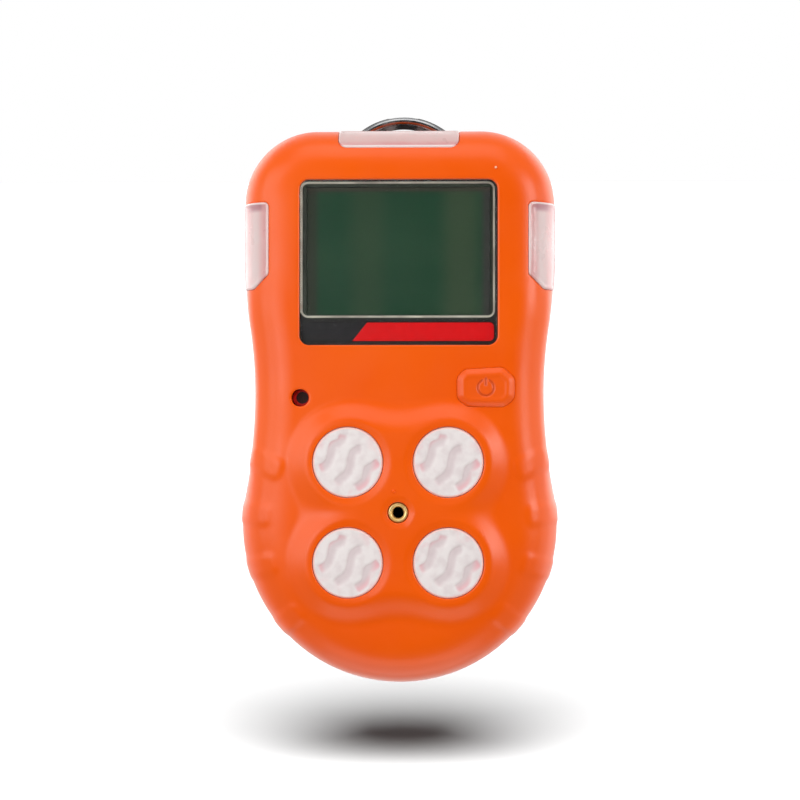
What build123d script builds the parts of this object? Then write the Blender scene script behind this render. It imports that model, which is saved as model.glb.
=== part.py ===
"""Portable four-gas detector, worn upright by the alligator clip on its back. All sizes in millimetres.

Frame: +X to the right seen from the front, +Y from the front face to the back, +Z up the device.
The origin is the mouth of the brass calibration insert, in the middle of the four sensor ports.
"""

from math import atan2, cos, radians, sin

from build123d import *

import os

os.makedirs("parts", exist_ok=True)

# Outline of the body, seen from the front
TOP_Z = 83.8
CORNER_R = 16.2
HALF_TOP = 34.1
SHOULDER_Z = 56.0
HALF_WAIST = 31.7
WAIST_Z = 26.0
BULGE_R = 34.6
BULGE_Z = -2.95
BULGE_BLEND_R = 35.0

# Depths, from the front of the device to its back
PLATFORM_Y = -0.6
FACE_Y = 1.6
PARTING_Y = 14.0
BACK_Y = 28.0
WALL = 2.2
FACE_WALL = 2.4
INNER_FACE_Y = FACE_Y + FACE_WALL
INNER_BACK_Y = BACK_Y - WALL
FRONT_EDGE_R = 8.0
BACK_EDGE_R = 6.0

# Grip pads along the lower sides
GRIP_RISE = 0.35
GRIP_ANGLES = [25.0, 4.5, -16.5, -40.5]
GRIP_LENGTH = 5.6
GRIP_REACH = 7.0

# Sensor ports
SENSOR_PITCH = 21.8
PORT_R = 7.72
DISH_R = 9.0
LOBE_R = 11.4
SENSOR_R = 10.1
SENSOR_POCKET_R = 10.4
FILTER_Y = 0.1
LIP_Y = 1.1
SENSOR_FRONT_Y = 2.8
SENSOR_HEIGHT = 16.6
SENSOR_PIN_RING_R = 6.8
SENSOR_PIN_R = 0.75
SENSOR_PIN_LENGTH = 4.0

# Calibration insert, M3
INSERT_R = 2.3
INSERT_BORE_R = 1.25
INSERT_LENGTH = 5.5
INSERT_DISH_R = 3.0

# Display window and display
WINDOW_WIDTH = 43.0
WINDOW_TOP = 72.4
WINDOW_BOTTOM = 36.5
WINDOW_CORNER_R = 2.4
WINDOW_Y = 1.95
WINDOW_THICKNESS = 1.2
WINDOW_LEDGE = 0.5
STRIP_INSET = 0.4
STRIP_TOP = 41.6
DISPLAY_WIDTH = 41.9
DISPLAY_TOP = 71.75
DISPLAY_BOTTOM = 42.0
DISPLAY_FRAME = 0.9

# Power button and buzzer port
BUTTON_X = 19.1
BUTTON_Z = 27.2
BUTTON_WIDTH = 12.6
BUTTON_HEIGHT = 8.3
BUTTON_CORNER_R = 3.2
BUTTON_RISE = 0.9
BUTTON_GAP = 0.22
BUZZER_PORT_X = -21.3
BUZZER_PORT_Z = 24.9
BUZZER_PORT_R = 1.9
BUZZER_R = 5.2
BUZZER_Z = 27.9

# Alarm lenses
LENS_GAP = 0.08
LENS_THICKNESS = 1.9
TOP_LENS_WIDTH = 26.3
TOP_LENS_BOTTOM = 79.65
SIDE_LENS_X = 28.4
SIDE_LENS_TOP = 67.6
SIDE_LENS_KNEE = 51.9
SIDE_LENS_FOOT = 48.6
SIDE_LENS_SLANT = 1.03
LENS_BACK_Y = 12.0

# Boards, battery and the small parts on the boards
BOARD = 1.6
DISPLAY_BOARD_Y = 9.0
SENSOR_BOARD_Y = 20.9
HEADER_Z = 24.2
STANDOFFS = [(-24.2, 38.5), (24.2, 38.5), (-12.0, 75.4), (12.0, 75.4)]
STANDOFF_R = 1.9
LEDS = [(-25.6, 52.0), (-25.6, 62.0), (25.6, 52.0), (25.6, 62.0), (-5.5, 75.6), (5.5, 75.6)]
BATTERY_Y = 12.4
BATTERY_THICKNESS = 9.0
BATTERY_HALF_WIDTH = 18.0
BATTERY_BOTTOM = 27.6
BATTERY_TOP = 68.0
MOTOR_X = 24.2
MOTOR_Y = 15.2
MOTOR_R = 2.5
MOTOR_BOTTOM = 42.5
MOTOR_TOP = 52.5
CONTACT_Z = -26.0
CONTACT_XS = [-7.5, -2.5, 2.5, 7.5]

# Screws that close the housing
TOP_BOSS = (24.3, 72.8)
BOTTOM_BOSS = (18.2, -23.2)
BOSS_R = 2.9
HOUSING_INSERT_R = 1.9
SCREW_R = 1.2
SCREW_HEAD_R = 2.2
SCREW_HEAD_HEIGHT = 1.5
HEAD_RECESS = 2.0

# Back of the housing
LABEL_WIDTH = 38.0
LABEL_HEIGHT = 24.0
LABEL_Z = -4.0
LABEL_THICKNESS = 0.4

# Alligator clip
SHEET = 1.0
CLIP_HALF_WIDTH = 8.0
CLIP_Y = 28.05
CLIP_BOTTOM = 18.0
CLIP_TOP = 64.0
PIVOT_Y = 33.2
PIVOT_Z = 50.0
PIVOT_R = 1.25
RUNNING_GAP = 0.05
EAR_TIP_R = 2.8
LEVER_HALF_WIDTH = 6.7
PAD_Y = 41.0
PAD_HALF_WIDTH = 10.5
PAD_TOP = 90.4
PAD_CROWN_R = 16.3
BEAD_R = 1.0
SLOT_RIM = 0.9
JAW_HALF_WIDTH = 8.0
JAW_Z = 20.6
CLIP_SCREW_ZS = [26.0, 40.0]
COIL_R = 2.2
WIRE_R = 0.4
COIL_PITCH = 0.9
COIL_TURNS = 5.5

SENSOR_CENTRES = [
    (-SENSOR_PITCH / 2, SENSOR_PITCH / 2),
    (SENSOR_PITCH / 2, SENSOR_PITCH / 2),
    (-SENSOR_PITCH / 2, -SENSOR_PITCH / 2),
    (SENSOR_PITCH / 2, -SENSOR_PITCH / 2),
]
BOSSES = [(side * x, z) for x, z in (TOP_BOSS, BOTTOM_BOSS) for side in (-1, 1)]


def upright(y):
    """The plane at depth y that faces the viewer. Its sketches read X and Z, and extrude to the front."""
    return Plane.XZ.offset(-y)


def save(part, name):
    part.label = name
    export_step(part, f"parts/{name}.step")


def s_bend(start, end, end_radius=None):
    """Two tangent arcs from start down to end, both upright at the ends. Without a radius they match."""
    drop, shift = start.Y - end.Y, end.X - start.X
    turn = 2 * atan2(abs(shift), drop)
    both = drop / sin(turn)
    last = end_radius or both / 2
    first = both - last
    side = 1 if shift > 0 else -1
    middle = start + Vector(side * first * (1 - cos(turn)), -first * sin(turn))
    arc = TangentArc(start, middle, tangent=(0, -1))
    TangentArc(middle, end, tangent=arc % 1)


# The outline, drawn on its right half and mirrored
with BuildSketch() as outline:
    with BuildLine() as half_outline:
        corner_x = HALF_TOP - CORNER_R
        Line((0, TOP_Z), (corner_x, TOP_Z))
        TangentArc((corner_x, TOP_Z), (HALF_TOP, TOP_Z - CORNER_R), tangent=(1, 0))
        Line((HALF_TOP, TOP_Z - CORNER_R), (HALF_TOP, SHOULDER_Z))
        s_bend(Vector(HALF_TOP, SHOULDER_Z), Vector(HALF_WAIST, WAIST_Z))
        s_bend(Vector(HALF_WAIST, WAIST_Z), Vector(BULGE_R, BULGE_Z), BULGE_BLEND_R)
        TangentArc((BULGE_R, BULGE_Z), (0, BULGE_Z - BULGE_R), tangent=(0, -1))
        mirror(about=Plane.YZ)
    make_face()


def body_block(grow, from_y, to_y, edge_radius, rounded_end):
    """The body's outline grown by some millimetres, from one depth to another, with one end rounded."""
    with BuildPart() as block:
        with BuildSketch(upright(to_y)):
            add(outline.sketch_local)
            if grow:
                offset(amount=grow)
        extrude(amount=to_y - from_y)
        end = block.faces().sort_by(Axis.Y)[0 if rounded_end == "front" else -1]
        fillet(end.edges(), edge_radius)
    return block.part


def grip_prisms(from_y, to_y):
    """Rounded blocks along both lower sides, where the housing's surface stands a little proud."""
    with BuildPart() as prisms:
        with BuildSketch(upright(to_y)):
            reach = BULGE_R - GRIP_REACH / 2 + 1
            for angle in GRIP_ANGLES:
                for side in (-1, 1):
                    centre = (side * reach * cos(radians(angle)), BULGE_Z + reach * sin(radians(angle)))
                    with Locations(Location(centre, side * angle)):
                        RectangleRounded(GRIP_REACH + 2, GRIP_LENGTH, GRIP_LENGTH / 3)
        extrude(amount=to_y - from_y)
    return prisms.part


front_block = body_block(0, FACE_Y, PARTING_Y, FRONT_EDGE_R, "front")
front_grown = body_block(GRIP_RISE, FACE_Y - GRIP_RISE, PARTING_Y, FRONT_EDGE_R, "front")
front_grips = front_grown & grip_prisms(FACE_Y, PARTING_Y)
front_hollow = body_block(-WALL, INNER_FACE_Y, PARTING_Y, FRONT_EDGE_R - WALL, "front")
back_block = body_block(0, PARTING_Y, BACK_Y, BACK_EDGE_R, "back")
back_grown = body_block(GRIP_RISE, PARTING_Y, BACK_Y + GRIP_RISE, BACK_EDGE_R, "back")
back_grips = back_grown & grip_prisms(PARTING_Y, BACK_Y - BACK_EDGE_R / 2)
back_hollow = body_block(-WALL, PARTING_Y, INNER_BACK_Y, BACK_EDGE_R - WALL, "back")


def side_lens_sketch(side, gap):
    """The slanted-foot outline of a side lens, drawn past the body's edge."""
    inner, outer = SIDE_LENS_X - gap, HALF_TOP + 2
    foot = SIDE_LENS_FOOT - gap
    with BuildLine() as edge:
        FilletPolyline(
            (side * outer, SIDE_LENS_TOP + gap),
            (side * inner, SIDE_LENS_TOP + gap),
            (side * inner, SIDE_LENS_KNEE - gap / 2),
            (side * (inner + (SIDE_LENS_KNEE - foot) * SIDE_LENS_SLANT), foot),
            (side * outer, foot),
            radius=1.1,
            close=True,
        )
    make_face(edge.edges())


def top_lens_sketch(gap):
    """The rounded bar that the top lens makes on the front, drawn past the body's top."""
    height = TOP_Z + 3 - TOP_LENS_BOTTOM
    with Locations((0, TOP_LENS_BOTTOM - gap + height / 2)):
        RectangleRounded(TOP_LENS_WIDTH + 2 * gap, height, 2.2)


def lens_blocks(gap):
    """The three lens outlines run back from the front to the parting plane."""
    with BuildPart() as blocks:
        with BuildSketch(upright(LENS_BACK_Y + gap)):
            top_lens_sketch(gap)
            for side in (-1, 1):
                side_lens_sketch(side, gap)
        extrude(amount=LENS_BACK_Y + gap - PLATFORM_Y)
    return blocks.part


def rim_band(outer_inset, inner_inset, from_y, to_y):
    """A band that follows the outline all the way round, between two insets."""
    with BuildPart() as band:
        with BuildSketch(upright(to_y)):
            add(outline.sketch_local)
            offset(amount=-outer_inset)
        extrude(amount=to_y - from_y)
        with BuildSketch(upright(to_y)):
            add(outline.sketch_local)
            offset(amount=-inner_inset)
        extrude(amount=to_y - from_y, mode=Mode.SUBTRACT)
    return band.part


def discs(centres, radius, from_y, to_y):
    """Round rods that run from front to back, one at each centre."""
    with BuildPart() as rods:
        with BuildSketch(upright(to_y)):
            with Locations(*centres):
                Circle(radius)
        extrude(amount=to_y - from_y)
    return rods.part


def slab(left, right, bottom, top, from_y, to_y, corner=0):
    """A flat plate that faces the front, with rounded corners if asked."""
    with BuildPart() as plate:
        with BuildSketch(upright(to_y)):
            with Locations(((left + right) / 2, (bottom + top) / 2)):
                if corner:
                    RectangleRounded(right - left, top - bottom, corner)
                else:
                    Rectangle(right - left, top - bottom)
        extrude(amount=to_y - from_y)
    return plate.part


# --- Housing -------------------------------------------------------------------------------------

with BuildPart() as front_shell:
    add(front_block)
    add(front_grips)
    # raised clover round the four sensor ports
    with BuildSketch(upright(FACE_Y + 1)):
        with Locations(*SENSOR_CENTRES):
            Circle(LOBE_R)
        Rectangle(SENSOR_PITCH, SENSOR_PITCH)
    extrude(amount=FACE_Y + 1 - PLATFORM_Y, taper=8)
    add(front_hollow, mode=Mode.SUBTRACT)
    # inside of the clover, which holds the heads of the sensors
    with BuildSketch(upright(INNER_FACE_Y + 0.5)):
        with Locations(*SENSOR_CENTRES):
            Circle(SENSOR_POCKET_R)
    extrude(amount=INNER_FACE_Y + 0.5 - LIP_Y, mode=Mode.SUBTRACT)
    # bosses for the housing screws and the calibration insert
    with BuildSketch(upright(PARTING_Y)):
        with Locations(*BOSSES):
            Circle(BOSS_R)
    extrude(amount=PARTING_Y - FACE_Y - 1.5)
    with BuildSketch(upright(INNER_FACE_Y + 3)):
        Circle(INSERT_R + 1.6)
    extrude(amount=3.5)
    # standoffs for the display board
    with BuildSketch(upright(DISPLAY_BOARD_Y)):
        with Locations(*STANDOFFS):
            Circle(STANDOFF_R)
    extrude(amount=DISPLAY_BOARD_Y - INNER_FACE_Y + 0.5)
    with BuildSketch(upright(DISPLAY_BOARD_Y)):
        with Locations(*STANDOFFS):
            Circle(1.0)
    extrude(amount=4.2, mode=Mode.SUBTRACT)
    with BuildSketch(upright(PARTING_Y)):
        with Locations(*BOSSES):
            Circle(HOUSING_INSERT_R)
    extrude(amount=PARTING_Y - INNER_FACE_Y - 2, mode=Mode.SUBTRACT)
    # sensor ports, each at the bottom of a shallow dish
    with BuildSketch(upright(LIP_Y)):
        with Locations(*SENSOR_CENTRES):
            Circle(PORT_R)
    extrude(amount=LIP_Y - PLATFORM_Y, mode=Mode.SUBTRACT)
    for x, z in SENSOR_CENTRES:
        with Locations(Location((x, PLATFORM_Y + 0.3, z), (90, 0, 0))):
            Cone(PORT_R, DISH_R, 0.6, mode=Mode.SUBTRACT)
    # calibration insert, in a small recess of its own
    with BuildSketch(upright(INSERT_LENGTH)):
        Circle(INSERT_R)
    extrude(amount=INSERT_LENGTH - PLATFORM_Y, mode=Mode.SUBTRACT)
    with BuildSketch(upright(0)):
        Circle(INSERT_DISH_R)
    extrude(amount=-PLATFORM_Y, mode=Mode.SUBTRACT)
    # display window: a pocket with a ledge, open behind the display
    window_middle = (WINDOW_TOP + WINDOW_BOTTOM) / 2
    window_height = WINDOW_TOP - WINDOW_BOTTOM
    with BuildSketch(upright(WINDOW_Y + WINDOW_THICKNESS + 0.1)):
        with Locations((0, window_middle)):
            RectangleRounded(WINDOW_WIDTH + 0.3, window_height + 0.3, WINDOW_CORNER_R + 0.15)
    extrude(amount=WINDOW_THICKNESS + 1, mode=Mode.SUBTRACT)
    with BuildSketch(upright(INNER_FACE_Y + 1)):
        opening_top = WINDOW_TOP - WINDOW_LEDGE
        with Locations((0, (opening_top + STRIP_TOP) / 2)):
            Rectangle(WINDOW_WIDTH - 2 * WINDOW_LEDGE, opening_top - STRIP_TOP)
    extrude(amount=FACE_WALL, mode=Mode.SUBTRACT)
    strip_half = WINDOW_WIDTH / 2 - STRIP_INSET
    add(slab(-strip_half - 0.1, strip_half + 0.1, WINDOW_BOTTOM + STRIP_INSET, STRIP_TOP + 0.1,
             WINDOW_Y, WINDOW_Y + WINDOW_THICKNESS + 0.35, 1.7), mode=Mode.SUBTRACT)
    # power button and sound port
    with BuildSketch(upright(INNER_FACE_Y + 1)):
        with Locations((BUTTON_X, BUTTON_Z)):
            RectangleRounded(BUTTON_WIDTH, BUTTON_HEIGHT, BUTTON_CORNER_R)
    extrude(amount=FACE_WALL + 2, mode=Mode.SUBTRACT)
    with BuildSketch(upright(INNER_FACE_Y + 1.2)):
        with Locations((BUZZER_PORT_X, BUZZER_PORT_Z)):
            Circle(BUZZER_PORT_R + 1.2)
    extrude(amount=2)
    with BuildSketch(upright(INNER_FACE_Y + 2)):
        with Locations((BUZZER_PORT_X, BUZZER_PORT_Z)):
            Circle(BUZZER_PORT_R)
    extrude(amount=FACE_WALL + 4, mode=Mode.SUBTRACT)
    add(lens_blocks(LENS_GAP), mode=Mode.SUBTRACT)
    add(rim_band(0.6, 1.6, PARTING_Y - 0.6, PARTING_Y), mode=Mode.SUBTRACT)
save(front_shell.part, "front_shell")

with BuildPart() as rear_shell:
    add(back_block)
    add(back_grips)
    add(back_hollow, mode=Mode.SUBTRACT)
    # bosses for the housing screws and the clip screws
    clip_bosses = [(0, z) for z in CLIP_SCREW_ZS]
    add(discs(BOSSES, BOSS_R, PARTING_Y, INNER_BACK_Y + 0.5))
    add(discs(clip_bosses, 2.6, INNER_BACK_Y - 2.4, INNER_BACK_Y + 0.5))
    add(discs(BOSSES, SCREW_R + 0.2, PARTING_Y, BACK_Y), mode=Mode.SUBTRACT)
    add(discs(BOSSES, SCREW_HEAD_R + 0.3, BACK_Y - HEAD_RECESS, BACK_Y), mode=Mode.SUBTRACT)
    add(discs(clip_bosses, SCREW_R + 0.05, INNER_BACK_Y - 2.4, BACK_Y), mode=Mode.SUBTRACT)
    # label recess and holes for the charging contacts
    label_half, label_rise = LABEL_WIDTH / 2, LABEL_HEIGHT / 2
    label_span = (-label_half, label_half, LABEL_Z - label_rise, LABEL_Z + label_rise)
    add(slab(*label_span, BACK_Y - LABEL_THICKNESS, BACK_Y, 2), mode=Mode.SUBTRACT)
    contact_holes = [(x, CONTACT_Z) for x in CONTACT_XS]
    add(discs(contact_holes, 1.5, INNER_BACK_Y - 1, BACK_Y), mode=Mode.SUBTRACT)
    add(rim_band(0.6, 1.6, PARTING_Y, PARTING_Y + 0.6), mode=Mode.SUBTRACT)
save(rear_shell.part, "rear_shell")

save(rim_band(0.65, 1.55, PARTING_Y - 0.55, PARTING_Y + 0.55), "housing_gasket")

with BuildPart() as shell_inserts:
    add(discs(BOSSES, HOUSING_INSERT_R - 0.05, PARTING_Y - 5.5, PARTING_Y - 0.1))
    add(discs(BOSSES, SCREW_R + 0.05, PARTING_Y - 5.5, PARTING_Y - 0.1), mode=Mode.SUBTRACT)
save(shell_inserts.part, "shell_inserts")


def pan_screws(centres, head_y, tip_y, shank_r, head_r, head_height):
    """Screws driven from the back, with a domed head and a cross slot."""
    with BuildPart() as screws:
        with BuildSketch(upright(head_y)):
            with Locations(*centres):
                Circle(shank_r)
        extrude(amount=head_y - tip_y)
        with BuildSketch(upright(head_y + head_height)):
            with Locations(*centres):
                Circle(head_r)
        extrude(amount=head_height)
        rims = screws.edges().filter_by(GeomType.CIRCLE).group_by(Axis.Y)[-1]
        fillet(rims, head_height * 0.45)
        with BuildSketch(upright(head_y + head_height)):
            with Locations(*centres):
                Rectangle(head_r * 1.1, 0.5)
                Rectangle(0.5, head_r * 1.1)
        extrude(amount=head_height * 0.6, mode=Mode.SUBTRACT)
    return screws.part


head_y = BACK_Y - HEAD_RECESS
save(pan_screws(BOSSES, head_y, 9.2, SCREW_R, SCREW_HEAD_R, SCREW_HEAD_HEIGHT), "housing_screws")

with BuildPart() as calibration_insert:
    with BuildSketch(upright(INSERT_LENGTH)):
        Circle(INSERT_R - 0.05)
        Circle(INSERT_BORE_R, mode=Mode.SUBTRACT)
    extrude(amount=INSERT_LENGTH)
save(calibration_insert.part, "calibration_insert")

# --- Window and display --------------------------------------------------------------------------

window_half = WINDOW_WIDTH / 2
with BuildPart() as display_window:
    add(slab(-window_half, window_half, WINDOW_BOTTOM, WINDOW_TOP,
             WINDOW_Y, WINDOW_Y + WINDOW_THICKNESS, WINDOW_CORNER_R))
    chamfer(display_window.faces().sort_by(Axis.Y)[0].edges(), 0.25)
save(display_window.part, "display_window")

strip_y = WINDOW_Y + WINDOW_THICKNESS + 0.02
save(slab(-strip_half, strip_half, WINDOW_BOTTOM + STRIP_INSET + 0.1, STRIP_TOP, strip_y,
          strip_y + 0.25, 1.6), "window_strip")

display_half = DISPLAY_WIDTH / 2
glass_half = display_half - DISPLAY_FRAME
glass_span = (-glass_half, glass_half, DISPLAY_BOTTOM + DISPLAY_FRAME, DISPLAY_TOP - DISPLAY_FRAME)
frame_posts = [(x, z) for x in (-18.5, 18.5) for z in (44.5, 69.0)]
with BuildPart() as lcd_frame:
    add(slab(-display_half, display_half, DISPLAY_BOTTOM, DISPLAY_TOP, 3.3, 7.2))
    add(slab(*glass_span, 3.3, 7.2), mode=Mode.SUBTRACT)
    add(discs(frame_posts, 1.0, 7.2, DISPLAY_BOARD_Y - 0.05))
    add(slab(-display_half, -glass_half + 4, 43.4, 45.6, 7.1, 7.8))
    add(slab(glass_half - 4, display_half, 43.4, 45.6, 7.1, 7.8))
    add(slab(-display_half, -glass_half + 4, 67.9, 70.1, 7.1, 7.8))
    add(slab(glass_half - 4, display_half, 67.9, 70.1, 7.1, 7.8))
save(lcd_frame.part, "lcd_frame")

glass_left, glass_right, glass_bottom, glass_top = glass_span
inner_glass = (glass_left + 0.05, glass_right - 0.05, glass_bottom + 0.05, glass_top - 0.05)
save(slab(*inner_glass, 3.6, 5.4), "lcd_glass")
save(slab(*inner_glass, 5.45, 7.0), "lcd_backlight")

# --- Power button and its switch -----------------------------------------------------------------

button_front = FACE_Y - BUTTON_RISE
cap_width = BUTTON_WIDTH - 2 * BUTTON_GAP
cap_height = BUTTON_HEIGHT - 2 * BUTTON_GAP
with BuildPart() as power_button:
    with BuildSketch(upright(4.7)):
        with Locations((BUTTON_X, BUTTON_Z)):
            RectangleRounded(cap_width, cap_height, BUTTON_CORNER_R - BUTTON_GAP)
    extrude(amount=4.7 - button_front)
    fillet(power_button.faces().sort_by(Axis.Y)[0].edges(), 0.8)
    add(slab(BUTTON_X - 6.8, BUTTON_X + 6.6, BUTTON_Z - 4.9, BUTTON_Z + 4.9, 4.65, 5.3, 3))
    add(discs([(BUTTON_X, BUTTON_Z)], 2.0, 5.3, 5.9))
    # sunk power symbol: a broken ring and a bar
    with BuildSketch(upright(button_front + 0.2)) as symbol:
        with Locations((BUTTON_X, BUTTON_Z)):
            Circle(2.0)
            Circle(1.5, mode=Mode.SUBTRACT)
        with Locations((BUTTON_X, BUTTON_Z + 1.6)):
            Rectangle(1.5, 1.8, mode=Mode.SUBTRACT)
            Rectangle(0.5, 1.9)
    extrude(amount=1, mode=Mode.SUBTRACT)
save(power_button.part, "power_button")

plunger_span = [(BUTTON_X, BUTTON_Z)]
save(discs(plunger_span, 1.6, 5.95, 7.6), "switch_plunger")
with BuildPart() as switch_body:
    add(slab(BUTTON_X - 3, BUTTON_X + 3, BUTTON_Z - 3, BUTTON_Z + 3, 6.6, DISPLAY_BOARD_Y - 0.02))
    add(discs(plunger_span, 1.65, 6.6, 8.3), mode=Mode.SUBTRACT)
save(switch_body.part, "switch_body")

# --- Alarm lenses --------------------------------------------------------------------------------

lens_front = body_block(0.2, FACE_Y - 0.2, PARTING_Y, FRONT_EDGE_R, "front")
lens_inside = body_block(
    -LENS_THICKNESS, FACE_Y + LENS_THICKNESS, PARTING_Y, FRONT_EDGE_R - LENS_THICKNESS, "front"
)
lens_skin = (lens_front - lens_inside) & lens_blocks(0)
lenses = lens_skin.solids().sort_by(Axis.X)
for lens, name in zip(lenses, ("left", "top", "right")):
    save(Part(lens.wrapped), f"alarm_lens_{name}")

# --- Sensors and their filters -------------------------------------------------------------------

PORT_NAMES = ["upper_left", "upper_right", "lower_left", "lower_right"]
for centre, name in zip(SENSOR_CENTRES, PORT_NAMES):
    with BuildPart() as port_filter:
        add(discs([centre], PORT_R - 0.12, FILTER_Y, LIP_Y + 0.1))
        fillet(port_filter.faces().sort_by(Axis.Y)[0].edges(), 0.35)
        add(discs([centre], SENSOR_POCKET_R - 0.8, LIP_Y + 0.05, LIP_Y + 0.65))
    save(port_filter.part, f"filter_{name}")

with BuildPart() as sensor_gaskets:
    add(discs(SENSOR_CENTRES, SENSOR_R - 0.2, LIP_Y + 0.7, SENSOR_FRONT_Y - 0.05))
    add(discs(SENSOR_CENTRES, SENSOR_R - 2.2, LIP_Y + 0.7, SENSOR_FRONT_Y), mode=Mode.SUBTRACT)
save(sensor_gaskets.part, "sensor_gaskets")

SENSORS = {
    "oxygen_sensor": (SENSOR_CENTRES[0], (30, 150, 270)),
    "carbon_monoxide_sensor": (SENSOR_CENTRES[1], (30, 150, 270)),
    "hydrogen_sulphide_sensor": (SENSOR_CENTRES[2], (30, 150, 270)),
    "combustible_gas_sensor": (SENSOR_CENTRES[3], (30, 150, 270)),
}
SENSOR_BACK_Y = SENSOR_FRONT_Y + SENSOR_HEIGHT


def pin_places(centre, angles):
    x, z = centre
    ring = SENSOR_PIN_RING_R
    return [(x + ring * cos(radians(a)), z + ring * sin(radians(a))) for a in angles]


for name, (centre, angles) in SENSORS.items():
    with BuildPart() as sensor:
        add(discs([centre], SENSOR_R, SENSOR_FRONT_Y, SENSOR_BACK_Y))
        fillet(sensor.edges().filter_by(GeomType.CIRCLE), 0.5)
        add(discs([centre], 5.0, SENSOR_FRONT_Y, SENSOR_FRONT_Y + 0.5), mode=Mode.SUBTRACT)
        pins = pin_places(centre, angles)
        add(discs(pins, SENSOR_PIN_R, SENSOR_BACK_Y - 0.5, SENSOR_BACK_Y + SENSOR_PIN_LENGTH))
    save(sensor.part, name)

all_pins = [pin for centre, angles in SENSORS.values() for pin in pin_places(centre, angles)]
with BuildPart() as sensor_sockets:
    add(discs(all_pins, 1.3, SENSOR_BACK_Y + 0.1, SENSOR_BOARD_Y + BOARD + 1.4))
    add(discs(all_pins, 0.8, SENSOR_BACK_Y, SENSOR_BOARD_Y + BOARD + 2), mode=Mode.SUBTRACT)
save(sensor_sockets.part, "sensor_sockets")

# --- Boards and what they carry ------------------------------------------------------------------

with BuildPart() as sensor_board:
    with BuildSketch(upright(SENSOR_BOARD_Y + BOARD)):
        with Locations((0, BULGE_Z)):
            Circle(29.5)
        with Locations((0, 11.2)):
            Rectangle(57, 28.8)
        with Locations(*BOSSES):
            Circle(BOSS_R + 0.5, mode=Mode.SUBTRACT)
        with Locations(*all_pins):
            Circle(1.35, mode=Mode.SUBTRACT)
    extrude(amount=BOARD)
save(sensor_board.part, "sensor_board")

with BuildPart() as display_board:
    with BuildSketch(upright(DISPLAY_BOARD_Y + BOARD)):
        with BuildLine():
            Polyline(
                (-20.6, 77.6), (20.6, 77.6), (20.6, 69.2), (27.3, 69.2), (27.3, 22.6),
                (-27.3, 22.6), (-27.3, 69.2), (-20.6, 69.2), (-20.6, 77.6),
            )
        make_face()
        with Locations(*STANDOFFS):
            Circle(1.0, mode=Mode.SUBTRACT)
    extrude(amount=BOARD)
save(display_board.part, "display_board")

board_back = DISPLAY_BOARD_Y + BOARD
save(pan_screws(STANDOFFS, board_back, 5.4, 0.95, 1.7, 1.0), "board_screws")

with BuildPart() as alarm_leds:
    for x, z in LEDS:
        add(slab(x - 1.4, x + 1.4, z - 1.7, z + 1.7, DISPLAY_BOARD_Y - 1.4, DISPLAY_BOARD_Y - 0.02))
save(alarm_leds.part, "alarm_leds")

save(slab(-8, 8, HEADER_Z - 1.3, HEADER_Z + 1.3, board_back + 0.02, board_back + 1.9), "display_header")
save(slab(-8, 8, HEADER_Z - 1.3, HEADER_Z + 1.3, SENSOR_BOARD_Y - 1.9, SENSOR_BOARD_Y - 0.02),
     "sensor_header")

with BuildPart() as ribbon_cable:
    with BuildSketch(Plane.YZ.offset(-7)):
        with BuildLine():
            Spline(
                (board_back + 1.95, HEADER_Z), (15.7, HEADER_Z + 1.5), (SENSOR_BOARD_Y - 1.95, HEADER_Z),
                tangents=((1, 0), (1, 0)),
            )
        trace(line_width=0.3)
    extrude(amount=14)
save(ribbon_cable.part, "ribbon_cable")

battery_back = BATTERY_Y + BATTERY_THICKNESS
battery_span = (-BATTERY_HALF_WIDTH, BATTERY_HALF_WIDTH, BATTERY_BOTTOM, BATTERY_TOP)
with BuildPart() as battery_pack:
    add(slab(*battery_span, BATTERY_Y, battery_back))
    fillet(battery_pack.edges().filter_by(Axis.Z), 2.5)
save(battery_pack.part, "battery_pack")
save(slab(-14, 14, 45, 66, battery_back + 0.05, INNER_BACK_Y - 0.05), "battery_pad")

connector_y = board_back + 0.02
save(slab(-25.5, -19.5, 57, 63, connector_y, connector_y + 3.4), "battery_connector")
with BuildPart() as battery_leads:
    for step in (-1, 1):
        start_z, end_z = 60 + step, 60 + 1.6 * step
        with BuildLine() as lead_line:
            lead = Spline(
                (-19.1, connector_y + 1.7, start_z),
                (-18.8, connector_y + 3.4, (start_z + end_z) / 2),
                (-18.6, BATTERY_Y + 4, end_z),
            )
        with BuildSketch(Plane(origin=lead @ 0, z_dir=lead % 0)):
            Circle(0.45)
        sweep(path=lead_line.line)
save(battery_leads.part, "battery_leads")

buzzer_centre = [(BUZZER_PORT_X, BUZZER_Z)]
with BuildPart() as buzzer:
    add(discs(buzzer_centre, BUZZER_R, INNER_FACE_Y + 1.3, DISPLAY_BOARD_Y - 0.02))
    add(discs([(BUZZER_PORT_X, BUZZER_PORT_Z)], 1.2, INNER_FACE_Y + 1.2, 6.8), mode=Mode.SUBTRACT)
save(buzzer.part, "buzzer")
save(discs([(BUZZER_PORT_X, BUZZER_PORT_Z)], BUZZER_PORT_R - 0.05, 4.2, 4.6), "buzzer_mesh")

# --- Vibration motor -----------------------------------------------------------------------------

motor_centre = (MOTOR_X, MOTOR_Y)


def upright_rod(radius, bottom, top):
    with BuildPart() as rod:
        with BuildSketch(Plane.XY.offset(bottom)):
            with Locations(motor_centre):
                Circle(radius)
        extrude(amount=top - bottom)
    return rod.part


with BuildPart() as vibration_motor:
    add(upright_rod(MOTOR_R, MOTOR_BOTTOM, MOTOR_TOP))
    add(upright_rod(1.0, MOTOR_TOP, MOTOR_TOP + 0.4))
    add(upright_rod(0.5, MOTOR_TOP, MOTOR_TOP + 4.9))
save(vibration_motor.part, "vibration_motor")

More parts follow.
